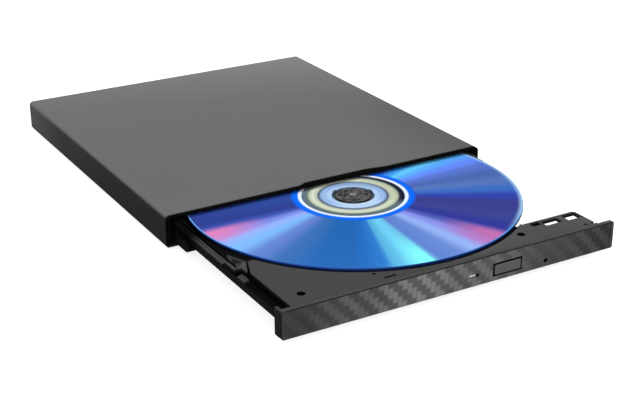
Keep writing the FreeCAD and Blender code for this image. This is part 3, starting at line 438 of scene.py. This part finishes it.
def tray_moulding():
    """Spark-textured land in painted light and shade, with the recesses painted in shade falling
    off to black.
    """
    mat = Material("tray_moulding")
    x, y, z = mat.xyz
    slow = mat.noise(60.0, detail=3.0, rough=0.6)
    fine = mat.noise(2600.0, rough=0.6)
    # painted light and shade across the land, darker on the left
    col = mat.ramp(mat.band_mm(x, -64, 64), greys(LAND_LIGHTING, LAND))
    col = mat.mix(slow * 0.12, col, grey(LAND * 0.4))
    col = mat.mix(fine * 0.20, col, grey(LAND * 0.5))

    # two places on the left painted in shade: the strip inside the ridge toward the mouth, and
    # the land by the mouth
    left_strip_shade = mat.band_mm(y, -113.6, -112.2) * mat.band_mm(x, -50.5, -52.0)
    left_strip_shade = left_strip_shade * mat.band_mm(x, -61.7, -61.3)
    mouth_shade = mat.band_mm(y, -97, -84, smooth=True) * mat.band_mm(x, -40, -46)
    col = mat.mix(mat.max(left_strip_shade * 0.93, mouth_shade * 0.96), col, grey(SHADE))
    painted_shade_mask = mat.max(left_strip_shade, mouth_shade)

    # painted shade inside the holes
    for hole_x, hole_y, hole_radius in TRAY_HOLES:
        hole_shade = mat.spot(hole_x, hole_y, radius=hole_radius + 0.12, soft=0.1)
        hole_shade = hole_shade * mat.band_mm(z, 10.19, 10.12)
        painted_shade_mask = mat.max(painted_shade_mask, hole_shade)
        col = mat.mix(hole_shade, col, grey(0.002))

    # painted light and shade of a four-sided block: a paler outline as its lit top with a darker
    # middle, and a small spot of painted shade beside it at the slot's end
    col = mat.mix(mat.patch(TRAY_BLOCK, soft=0.35), col, grey(LAND * 0.80))
    col = mat.mix(mat.patch(TRAY_BLOCK, soft=0.7, grow=-1.1), col, grey(LAND * 0.26))
    col = mat.mix(mat.spot(-55.8, -113.5, radius=0.55, soft=0.3), col, grey(SHADE))

    # painted shade on low floors and upright sides, then on the outer left side
    deep_shade = mat.band_mm(z, 9.9, 9.2)
    side = mat.band(mat.normal()[2], 0.7, 0.3)
    outer_side_shade = (x < -63.2 * MM) * side
    col = mat.mix(mat.max(deep_shade * 0.93, side * 0.55), col, grey(SHADE))
    col = mat.mix(outer_side_shade, col, mat.mix(mouth_shade, grey(LAND * 0.36), grey(0.004)))
    return mat.finish(
        Base_Color=col, Roughness=mat.vary(slow, 0.50, 0.58),
        Specular_IOR_Level=mat.switch(mat.max(deep_shade, painted_shade_mask), off=0.35, on=0.0),
        Normal=mat.bump(fine, strength=0.35, depth=0.04, normal=mat.soft_edges(0.2)))


# ---------------------------------------------------------------- bezel and its small parts

TOW_X, TOW_Z, TOW_SHIFT = 1.7625 * MM, 1.88 * MM, -0.34 * MM  # tow widths and start in x
BEZEL_HALF = 64           # half width of the face in mm
BEZEL_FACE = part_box("bezel")[0].y
FACE_GAIN = 2.0           # factor on the face's tones
FACE_HAZE = 0.012         # taken off them afterwards
TOW_SHEEN_TONES = [  # x in mm, dark tow and pale tow as display greys; their contrast along x is painted sheen
    (-64, 54, 60), (-56, 52, 62), (-51, 58, 72), (-46, 62, 81), (-40, 66, 90), (-34, 68, 94),
    (-30, 68, 103), (-25, 76, 114), (-18, 82, 119), (-8, 83, 119), (-2, 76, 106),
    (8, 78, 106), (14, 79, 100), (24, 75, 90), (30, 70, 80), (37, 67, 72), (43, 64, 72),
    (49, 58, 76), (56, 50, 72), (61, 48, 66), (64, 60, 74)]
# (share of the way from left to right, strength of the weave's relief and of its painted crown
# shade)
WEAVE_SHOW = [(0.0, 0), (0.1, 0.2), (0.25, 1), (0.6, 1), (0.72, 0.25), (0.8, 0.15),
              (0.88, 0.9), (0.97, 0.9), (1.0, 0)]
# (share of the way from left to right, grey of the rim's top strip, painted light)
RIM_TOP_LIGHT = [(0.0, 0.030), (0.3, 0.036), (0.6, 0.038), (0.85, 0.06), (1.0, 0.06)]


def face_tone(level, blue):
    """A display grey with its blue factor as the face's base colour."""
    return tuple(max(0.0, c * FACE_GAIN - FACE_HAZE) for c in srgb(level, level, level * blue))


def twill_bezel():
    """Two-by-two twill film under a satin coat; the contrast of its tows is painted sheen,
    strongest left of the middle.
    """
    mat = Material("twill_bezel")
    x, y, z = mat.xyz
    _, normal_y, normal_z = mat.normal()
    wander = (mat.noise(260.0, detail=1.0) - 0.5) * (0.5 * MM)
    u = (x - TOW_SHIFT + wander) / TOW_X
    w = (z + wander) / TOW_Z

    def warp_at(u, w):
        """1 where the upright tow lies on top; the whole turns keep the sum positive."""
        step = mat.math("FLOOR", u) + mat.math("FLOOR", w) + 400.0
        return mat.math("MODULO", step, 4.0) < 1.5

    warp = warp_at(u, w)
    # the same pattern a little to each side, so that the tow edges blend as under a coat
    soft = None
    for shift_u, shift_w in ((0.16, 0.0), (-0.16, 0.0), (0.0, 0.14), (0.0, -0.14)):
        shifted = warp_at(u + shift_u, w + shift_w)
        soft = shifted if soft is None else soft + shifted
    soft = soft * 0.25

    def crown_of(turns):
        return mat.math("SINE", mat.math("FRACT", turns + 100.0) * math.pi)

    def by_tow(weft_value, warp_value):
        return mat.value("Mix", {0: warp, 2: weft_value, 3: warp_value}, data_type="FLOAT")

    # crown of each tow, and its fine threads
    crown = by_tow(crown_of(w), crown_of(u))
    thread = by_tow(mat.noise(3000.0, rough=0.6, stretch=(0.08, 0.2, 1.0)),
                    mat.noise(3000.0, rough=0.6, stretch=(1.0, 0.2, 0.08)))

    along = mat.band_mm(x, -BEZEL_HALF, BEZEL_HALF)
    spots = [((p + BEZEL_HALF) / (2 * BEZEL_HALF), d, l) for p, d, l in TOW_SHEEN_TONES]
    # painted sheen of the dark and pale tows along x
    dark = mat.ramp(along, [(p, face_tone(d, blue=1.012)) for p, d, l in spots])
    light = mat.ramp(along, [(p, face_tone(l, blue=1.015)) for p, d, l in spots])
    show = mat.ramp(along, greys(WEAVE_SHOW))
    col = mat.mix(soft * mat.vary(mat.noise(90.0), 0.66, 1.0), dark, light)
    # painted shade along the sides of each tow's crown
    col = mat.mix((1.0 - crown) * 0.28 * show, col, dark)
    col = mat.mix(mat.band(thread, 0.35, 0.65) * 0.14, col, (0.02, 0.02, 0.021))

    # the moulded rim is plain: top strip in painted light, ends and the hairline's floor in
    # painted shade
    plain = mat.band(normal_y, -0.75, -0.4)
    rim = mat.mix(mat.band(normal_z, 0.3, 0.7), (0.010, 0.010, 0.0105),
                  mat.ramp(along, greys(RIM_TOP_LIGHT)))
    col = mat.mix(plain, col, rim)
    # painted shade on the hairline's floor
    groove_shade = y > BEZEL_FACE + 0.12 * MM
    col = mat.mix(groove_shade, col, mat.mix(plain, grey(0.006), rim))
    # painted shade in a thin line along the edge below the top strip
    edge_shade_line = mat.band_mm(z, 10.85, 11.0) * mat.band(normal_y, -0.25, -0.45)
    col = mat.mix(edge_shade_line * 0.85, col, grey(0.008))
    # painted shade on the walls of the openings behind the face
    behind = (y > BEZEL_FACE + 0.32 * MM) * mat.band_mm(z, 11.2, 11.0)
    behind = behind * (x > -63.8 * MM) * (x < 63.8 * MM)
    col = mat.mix(behind, col, grey(0.005))
    return mat.finish(
        Base_Color=col, Roughness=mat.vary(thread, 0.36, 0.5), Specular_IOR_Level=0.35,
        Coat_Weight=0.10, Coat_Roughness=0.25,
        Normal=mat.bump((crown + thread * 0.35) * show, strength=0.22, depth=0.06,
                        normal=mat.soft_edges(0.2)))


def button_cap():
    """Grey front face, with painted shade, black, where it turns away from -Y."""
    mat = Material("button_cap")
    fine = mat.noise(3000.0, rough=0.6)
    col = mat.mix(fine, (0.150, 0.150, 0.155), (0.168, 0.168, 0.173))
    # painted shade on the sides
    col = mat.mix(mat.band(mat.normal()[1], -0.86, -0.6), col, grey(0.006))
    return mat.finish(
        Base_Color=col, Roughness=mat.vary(fine, 0.36, 0.42), Specular_IOR_Level=0.35,
        Normal=mat.bump(fine, strength=0.35, depth=0.03))


def light_pipe():
    """Pale pipe with a faint painted glow, and painted shadow along its right end and its
    bottom.
    """
    mat = Material("light_pipe")
    x, y, z = mat.xyz
    low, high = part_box("led_window")
    # painted shadow along the right end and the bottom
    well_shadow = mat.max(mat.band(x, high.x - 1.75 * MM, high.x - 1.55 * MM),
                   mat.band(z, low.z + 0.66 * MM, low.z + 0.54 * MM))
    pipe = mat.mix(mat.noise(800.0), (0.84, 0.83, 0.80), (0.92, 0.92, 0.90))
    return mat.finish(
        Base_Color=mat.mix(well_shadow, pipe, grey(0.006)), Roughness=0.25,
        Specular_IOR_Level=mat.switch(well_shadow, off=0.5, on=0.0),
        # a faint painted glow
        Emission_Color=(1.0, 0.98, 0.95),
        Emission_Strength=mat.switch(well_shadow, off=0.05, on=0.0),
        Subsurface_Weight=mat.switch(well_shadow, off=0.2, on=0.0),
        Subsurface_Radius=(1 * MM, 1 * MM, 1 * MM),
        Normal=mat.soft_edges(0.1))


# ---------------------------------------------------------------- disc shape

DISC = centre("optical_disc")
DISC_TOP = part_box("optical_disc")[1].z
THICK = 1.2
SEGMENTS = 360
# radius and depth below the top, in mm: bore, three shallow grooves, a sunk band, the data
TOP_PROFILE = [
    (7.5, 0.15), (7.56, 0.05), (7.68, 0), (12.25, 0), (12.4, 0.10), (12.75, 0.10), (12.9, 0),
    (15.9, 0), (16.05, 0.08), (16.35, 0.08), (16.5, 0), (18.1, 0), (18.25, 0.12),
    (18.45, 0.12), (18.6, 0), (19.8, 0), (19.9, 0.03), (22.5, 0.03), (22.65, 0), (40.0, 0),
    (59.45, 0)]
# radius and height above the underside, in mm: the stacking ring and the bore's edge
UNDER_PROFILE = [(17.9, 0), (17.8, -0.18), (17.2, -0.18), (17.1, 0), (7.65, 0)]


def edge_arc(start, width, height, angles):
    """Points of a rounded edge: radius, and distance in from the face it leaves."""
    turns = [math.radians(a) for a in angles]
    return [(start + width * math.sin(t), height * (1 - math.cos(t))) for t in turns]


def disc_profile():
    """Section of the disc as (radius, height) in metres."""
    top = TOP_PROFILE + edge_arc(59.45, 0.5, 0.28, (30, 60, 90)) + [(60.0, 0.45)]
    under = [(60.0, 0.35)] + edge_arc(59.7, 0.3, 0.3, (60, 30, 0)) + UNDER_PROFILE
    section = [(7.5, 0.15 - THICK)]
    section += [(radius, -depth) for radius, depth in top]
    section += [(radius, height - THICK) for radius, height in under]
    return [(radius * MM, DISC_TOP + height * MM) for radius, height in section]


def add_object(name, data):
    obj = bpy.data.objects.new(name, data)
    bpy.context.scene.collection.objects.link(obj)
    return obj


def lathe(name, profile, segments, middle):
    """Closed ring from a profile, run round a vertical axis."""
    count = len(profile)
    verts, faces = [], []
    for i in range(segments):
        angle = 2 * math.pi * i / segments
        verts += [(middle[0] + radius * math.cos(angle), middle[1] + radius * math.sin(angle),
                   height) for radius, height in profile]
        j = (i + 1) % segments
        for k in range(count):
            following = (k + 1) % count
            faces.append((i * count + k, j * count + k, j * count + following,
                          i * count + following))
    mesh = bpy.data.meshes.new(name)
    mesh.from_pydata(verts, [], faces)
    mesh.validate()
    bm = bmesh.new()
    bm.from_mesh(mesh)
    bmesh.ops.recalc_face_normals(bm, faces=bm.faces)
    bm.to_mesh(mesh)
    bm.free()
    mesh.polygons.foreach_set("use_smooth", [True] * len(mesh.polygons))
    mesh.set_sharp_from_angle(angle=math.radians(35))
    return add_object(name, mesh)


# ---------------------------------------------------------------- disc colours

# Tables by direction from the hub: degrees from +X, display colour, the disc's blue in painted
# diffraction sheen.
# The data tones are in three runs, because one ramp holds at most 32 stops.
TONES_A = [
    (162, (48, 74, 155)), (176, (48, 64, 145)), (181, (62, 86, 178)), (187, (122, 140, 230)),
    (192.5, (150, 178, 252)), (198, (128, 188, 250)), (207, (100, 130, 208)),
    (216, (60, 112, 183)), (228, (36, 104, 181)), (242, (35, 108, 190)),
    (249, (44, 122, 206)), (252, (92, 182, 226)), (259, (112, 211, 246)),
    (263.5, (112, 194, 234)), (266, (96, 130, 208)), (274, (104, 138, 212)),
    (281, (150, 180, 246)), (288, (138, 146, 236)), (294, (78, 92, 180)),
    (300, (50, 56, 152))]
TONES_B = [
    (309, (60, 68, 146)), (322, (58, 62, 140)), (329, (52, 68, 170)), (336, (60, 108, 194)),
    (343, (86, 118, 187)), (352, (74, 104, 176))]
TONES_C = [
    (0, (87, 117, 205)), (6, (102, 138, 250)), (12, (90, 168, 250)), (18, (98, 200, 247)),
    (24, (60, 146, 232)), (34, (46, 80, 180)), (60, (42, 56, 148)), (84, (60, 112, 190)),
    (96, (112, 196, 235)), (106, (80, 110, 205)), (126, (44, 58, 150))]
RUN_ENDS = [(100, (112, 196, 235)), (330, (52, 68, 170))]  # beyond both ends of TONES_A
RIM_HIGHLIGHT_TONES = [
    (170, (112, 180, 240)), (190, (84, 152, 232)), (205, (36, 84, 176)), (225, (24, 60, 140)),
    (250, (20, 55, 122)), (270, (22, 60, 126)), (285, (50, 110, 192)), (300, (92, 166, 240)),
    (322, (150, 205, 245)), (350, (176, 214, 248)), (20, (176, 214, 248)),
    (60, (120, 180, 245)), (110, (70, 150, 240))]
RAMP_START = 240.03  # direction at which the ramps begin
RINGS_END = 24.0     # radius in mm at which the ramp of rings ends
CLEAR_RINGS = [  # radius in mm, display colour
    (7.5, (96, 116, 146)), (7.9, (176, 206, 240)), (9.4, (164, 196, 236)),
    (10.6, (152, 184, 230)), (11.6, (142, 174, 218)), (12.15, (84, 98, 128)),
    (12.6, (96, 108, 122)), (12.95, (178, 188, 168))]
MIRROR_RINGS = [
    (18.6, (216, 230, 255)), (19.0, (246, 250, 255)), (19.6, (214, 232, 255)),
    (19.9, (20, 110, 246)), (21.6, (8, 104, 246)), (22.2, (16, 86, 220))]


def at_angle(degrees):
    """Ramp position of a direction given in degrees from +X."""
    return ((degrees - RAMP_START) % 360.0) / 360.0


def tone_ramp(mat, turn, table):
    stops = sorted((at_angle(degrees), srgb(*colour)) for degrees, colour in table)
    return mat.ramp(turn, stops, "EASE")


def arc(mat, turn, levels, interpolation="EASE"):
    """Mask round the hub from rows of (degrees from +X, level)."""
    stops = [(at_angle(degrees), grey(level)) for degrees, level in levels]
    return mat.ramp(turn, stops, interpolation)


def data_colours(mat, radius, turn):
    """The recorded zone: the disc's blue in painted diffraction sheen, fanning out from the hub.
    """
    first = tone_ramp(mat, turn, TONES_A + RUN_ENDS)
    second = tone_ramp(mat, turn, TONES_C + TONES_B + [TONES_A[0], TONES_A[-1]])
    in_first = (turn > at_angle(162.01)) * 1.0
    in_first = mat.max(in_first, turn < at_angle(299.99))
    data = mat.mix(in_first, second, first)
    # two painted pink diffraction streaks and a sharp-edged cyan one, growing toward the rim
    outward = mat.band(radius, 34.0, 57.0, smooth=True)
    for levels, interpolation, colour in (
            ([(179.5, 0), (184, 1), (188, 0.75), (193.5, 0)], "EASE", (226, 132, 190)),
            ([(281, 0), (288, 0.75), (294, 1), (299, 0)], "EASE", (196, 112, 176)),
            ([(255, 0), (261, 1), (264.3, 1), (265.6, 0)], "LINEAR", (130, 252, 250))):
        streak = arc(mat, turn, levels, interpolation) * outward
        data = mat.mix(streak, data, srgb(*colour))
    tracks = mat.math("SINE", radius * 42.0)
    return mat.mix(mat.band(tracks, -1.0, 1.0, 0.0, 0.05), data, srgb(20, 30, 90))


def hub_colours(mat, radius, turn):
    """Rings of the clear zone, out to the start of the data, with painted shade on one side and
    painted light on the lit and far sides.
    """
    share = mat.band(radius, 0.0, RINGS_END)

    def rings(dark, dark_edge, cream):
        table = CLEAR_RINGS + [
            (14.4, cream), (15.9, (182, 192, 164)), (16.3, (104, 116, 110)),
            (16.6, dark_edge), (17.6, dark), (18.25, dark)] + MIRROR_RINGS
        return mat.ramp(share, [(r / RINGS_END, srgb(*colour)) for r, colour in table])

    # painted shade on one side, painted light on two others
    shadow_side = arc(mat, turn, [(300, 0), (322, 1), (38, 1), (62, 0)])
    lit_side = arc(mat, turn, [(185, 0), (225, 1), (285, 1), (325, 0)])
    far_side_light = arc(mat, turn, [(355, 0), (40, 1), (85, 1), (130, 0)])
    clear = mat.band(radius, 7.7, 8.3) * mat.band(radius, 11.6, 11.0)
    col = mat.mix(
        shadow_side,
        rings(dark=(96, 112, 128), dark_edge=(104, 124, 124), cream=(214, 222, 202)),
        rings(dark=(22, 20, 44), dark_edge=(46, 50, 70), cream=(196, 204, 176)))
    col = mat.mix(clear * lit_side * 0.55, col, srgb(206, 230, 248))
    col = mat.mix(clear * far_side_light * 0.55, col, srgb(140, 164, 196))
    ripple = mat.band(abs(radius - 9.9), 0.35, 0.05) * 0.35
    return mat.mix(ripple, col, srgb(120, 146, 190))


def disc_iridescent():
    """Disc colours in plan, with radii in mm; their painted diffraction sheen turns with the
    camera, not the disc.
    """
    mat = Material("disc_iridescent")
    z = mat.xyz[2]
    dx, dy = mat.offset(*DISC)
    radius = mat.length(dx, dy) * (1 / MM)

    def heading(vector, space):
        """Angle in the room, about Z, of a vector given in another space."""
        room = mat.value("VectorTransform", (vector,), vector_type="VECTOR",
                         convert_from=space, convert_to="WORLD")
        room_x, room_y, _ = mat.split(room)
        return mat.math("ARCTAN2", room_y, room_x)

    outward = mat.value("CombineXYZ", (dx, dy, 0.0))
    angle = heading(outward, "OBJECT") - heading((0.0, 0.0, -1.0), "CAMERA")
    turn = mat.math("FRACT", angle / (2 * math.pi) + 3.0)

    data = data_colours(mat, radius, turn)
    hub = hub_colours(mat, radius, turn)
    col = mat.mix(mat.band(radius, 21.7, 22.6), hub, data)
    # painted pale highlight near the rim on one side
    rim_highlight_arc = arc(mat, turn, [(296, 0), (318, 1), (20, 1), (50, 0)])
    glow = mat.band(radius, 57.8, 59.8, smooth=True) * rim_highlight_arc
    col = mat.mix(glow * 0.75, col, srgb(176, 216, 248))

    # rim: a painted highlight line on the bevel that turns navy toward the viewer, over an edge
    # in painted shade, navy above and black lower down
    col = mat.mix(mat.band(radius, 59.45, 59.6), col, tone_ramp(mat, turn, RIM_HIGHLIGHT_TONES))
    normal_z = mat.normal()[2]
    side = mat.band(normal_z, 0.62, 0.35) * mat.band(radius, 58.5, 59.0)
    side_shade_depth = mat.band(z, DISC_TOP - 0.25 * MM, DISC_TOP - 0.85 * MM)
    col = mat.mix(side, col, mat.mix(side_shade_depth, srgb(18, 50, 112), srgb(4, 8, 26)))
    col = mat.mix(mat.band(normal_z, -0.2, -0.6), col, srgb(120, 110, 150))
    return mat.finish(Base_Color=col, Roughness=mat.band(radius, 22.4, 23.0, 0.18, 0.22),
                      Specular_IOR_Level=0.03)


# ---------------------------------------------------------------- parts

MATS = {slot: moulded(name, colour, **opts) for slot, (name, colour, opts) in PLASTICS.items()}
MATS.update({slot: metal(name, colour, **opts) for slot, (name, colour, opts) in METALS.items()})
MATS.update({
    "cover_satin": lid_satin(),
    "hub_dark": hub_moulding(),
    "lens_glass": lens_coated(),
    "ribbon_white": ribbon_film(),
    "tray_plastic": tray_moulding(),
    "bezel_twill": twill_bezel(),
    "button_dark": button_cap(),
    "indicator_clear": light_pipe(),
    "disc_mirror": disc_iridescent(),
})


def build_disc():
    disc = lathe("disc", disc_profile(), SEGMENTS, DISC)
    disc.data.materials.append(MATS["disc_mirror"])
    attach(disc, "rotor")
    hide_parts("optical_disc")


def finish_parts():
    """Gives every carried-over part the material of its slot."""
    slot_of = {part["node"]: part["material_slot"] for part in frame["record"]["subparts"]}
    for name, obj in NODES.items():
        material = MATS[slot_of[name]]
        if len(obj.material_slots) == 0:
            obj.data.materials.append(material)
        for slot in obj.material_slots:
            slot.material = material


def build_cable():
    """A copy of the flat cable, carried by the housing."""
    source = NODES["ribbon_cable"]
    mesh = source.data.copy()
    mesh.transform(source.matrix_world)
    cable = add_object("flat_cable", mesh)
    for slot in cable.material_slots:
        slot.material = MATS["ribbon_white"]
    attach(cable, "housing")
    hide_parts("ribbon_cable")
    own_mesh(cable)


build_disc()
finish_parts()
build_cable()


# ---------------------------------------------------------------- stage, light and camera

FLOOR_SIZE, FLOOR_Z = 12.0, -0.0002


def build_floor():
    """A floor that glows pale to the camera and is dark to every other ray."""
    half = FLOOR_SIZE / 2
    mesh = bpy.data.meshes.new("floor")
    corners = [(-half, -half), (half, -half), (half, half), (-half, half)]
    mesh.from_pydata([(x, y, FLOOR_Z) for x, y in corners], [], [(0, 1, 2, 3)])
    floor = add_object("floor", mesh)

    material = bpy.data.materials.new("floor_pale")
    graph = Graph(material)
    seen = graph.value("AddShader", (graph.value("BsdfDiffuse", {"Color": grey(0.55)}),
                                     graph.value("Emission", {"Color": grey(1.0),
                                                              "Strength": 0.80})))
    unseen = graph.value("BsdfDiffuse", {"Color": grey(0.10)})
    is_camera = graph.value("LightPath", output="Is Camera Ray")
    graph.node("OutputMaterial", (graph.value("MixShader", (is_camera, unseen, seen)),))
    mesh.materials.append(material)


def build_world():
    """White to the camera; as light, brighter overhead with a dark card at the rear."""
    world = bpy.data.worlds.new("studio")
    bpy.context.scene.world = world
    graph = Graph(world)
    direction = graph.value("TexCoord", output="Generated")
    rise = graph.band(graph.split(direction)[2], 0.0, 0.75, 0.42, 0.75, smooth=True)
    # the card behind the object keeps grazing glare off the flat tops
    toward_card = graph.value("VectorMath", (direction, (0.46, 0.797, 0.39)), output="Value",
                              operation="DOT_PRODUCT")
    card = graph.band(toward_card, 0.55, 0.85, 1.0, 0.10, smooth=True)
    strength = graph.value("Math", (rise, card), operation="MULTIPLY")
    light = graph.value("Background", {"Color": grey(1.0), "Strength": strength})
    backdrop = graph.value("Background", {"Color": grey(1.0), "Strength": 1.05})
    is_camera = graph.value("LightPath", output="Is Camera Ray")
    graph.node("OutputWorld", (graph.value("MixShader", (is_camera, light, backdrop)),))


def area_light(name, place, target, size, power):
    light = bpy.data.lights.new(name, "AREA")
    light.shape = "RECTANGLE"
    light.size = size
    light.size_y = size
    light.energy = power
    obj = add_object(name, light)
    obj.location = place
    obj.rotation_mode = "QUATERNION"
    obj.rotation_quaternion = (Vector(target) - Vector(place)).to_track_quat("-Z", "Y")


# camera: angles in degrees, lengths in mm
LENS, SENSOR = 73.41975, 36.0
AZIMUTH, ELEVATION, ROLL = -30.03, 23.12, -0.32  # azimuth from -Y, negative toward -X
DISTANCE = 484.94
AIM = Vector((-0.34, -63.37, 0))


def build_camera():
    data = bpy.data.cameras.new("camera")
    camera = add_object("camera", data)
    azimuth, elevation, roll = (math.radians(v) for v in (AZIMUTH, ELEVATION, ROLL))
    back = Vector((math.sin(azimuth) * math.cos(elevation),
                   -math.cos(azimuth) * math.cos(elevation), math.sin(elevation)))
    level = (-back).cross(Vector((0, 0, 1))).normalized()
    upright = level.cross(-back)
    right = math.cos(roll) * level + math.sin(roll) * upright
    up = -math.sin(roll) * level + math.cos(roll) * upright
    pose = Matrix((right, up, back)).transposed().to_4x4()
    pose.translation = (AIM + back * DISTANCE) * MM
    camera.matrix_world = pose
    data.sensor_width = SENSOR
    data.lens = LENS
    data.clip_start = 0.01
    data.clip_end = 50.0
    bpy.context.scene.camera = camera


build_floor()
build_world()
area_light("key_top", place=(0.1, 0.35, 0.9), target=(0, -0.05, 0), size=0.9, power=6.0)
area_light("front_fill", place=(-0.35, -0.9, 0.35), target=(0, -0.1, 0), size=0.5, power=3.0)
build_camera()
bpy.context.scene.view_settings.view_transform = "Standard"
bpy.context.scene.view_settings.look = "None"
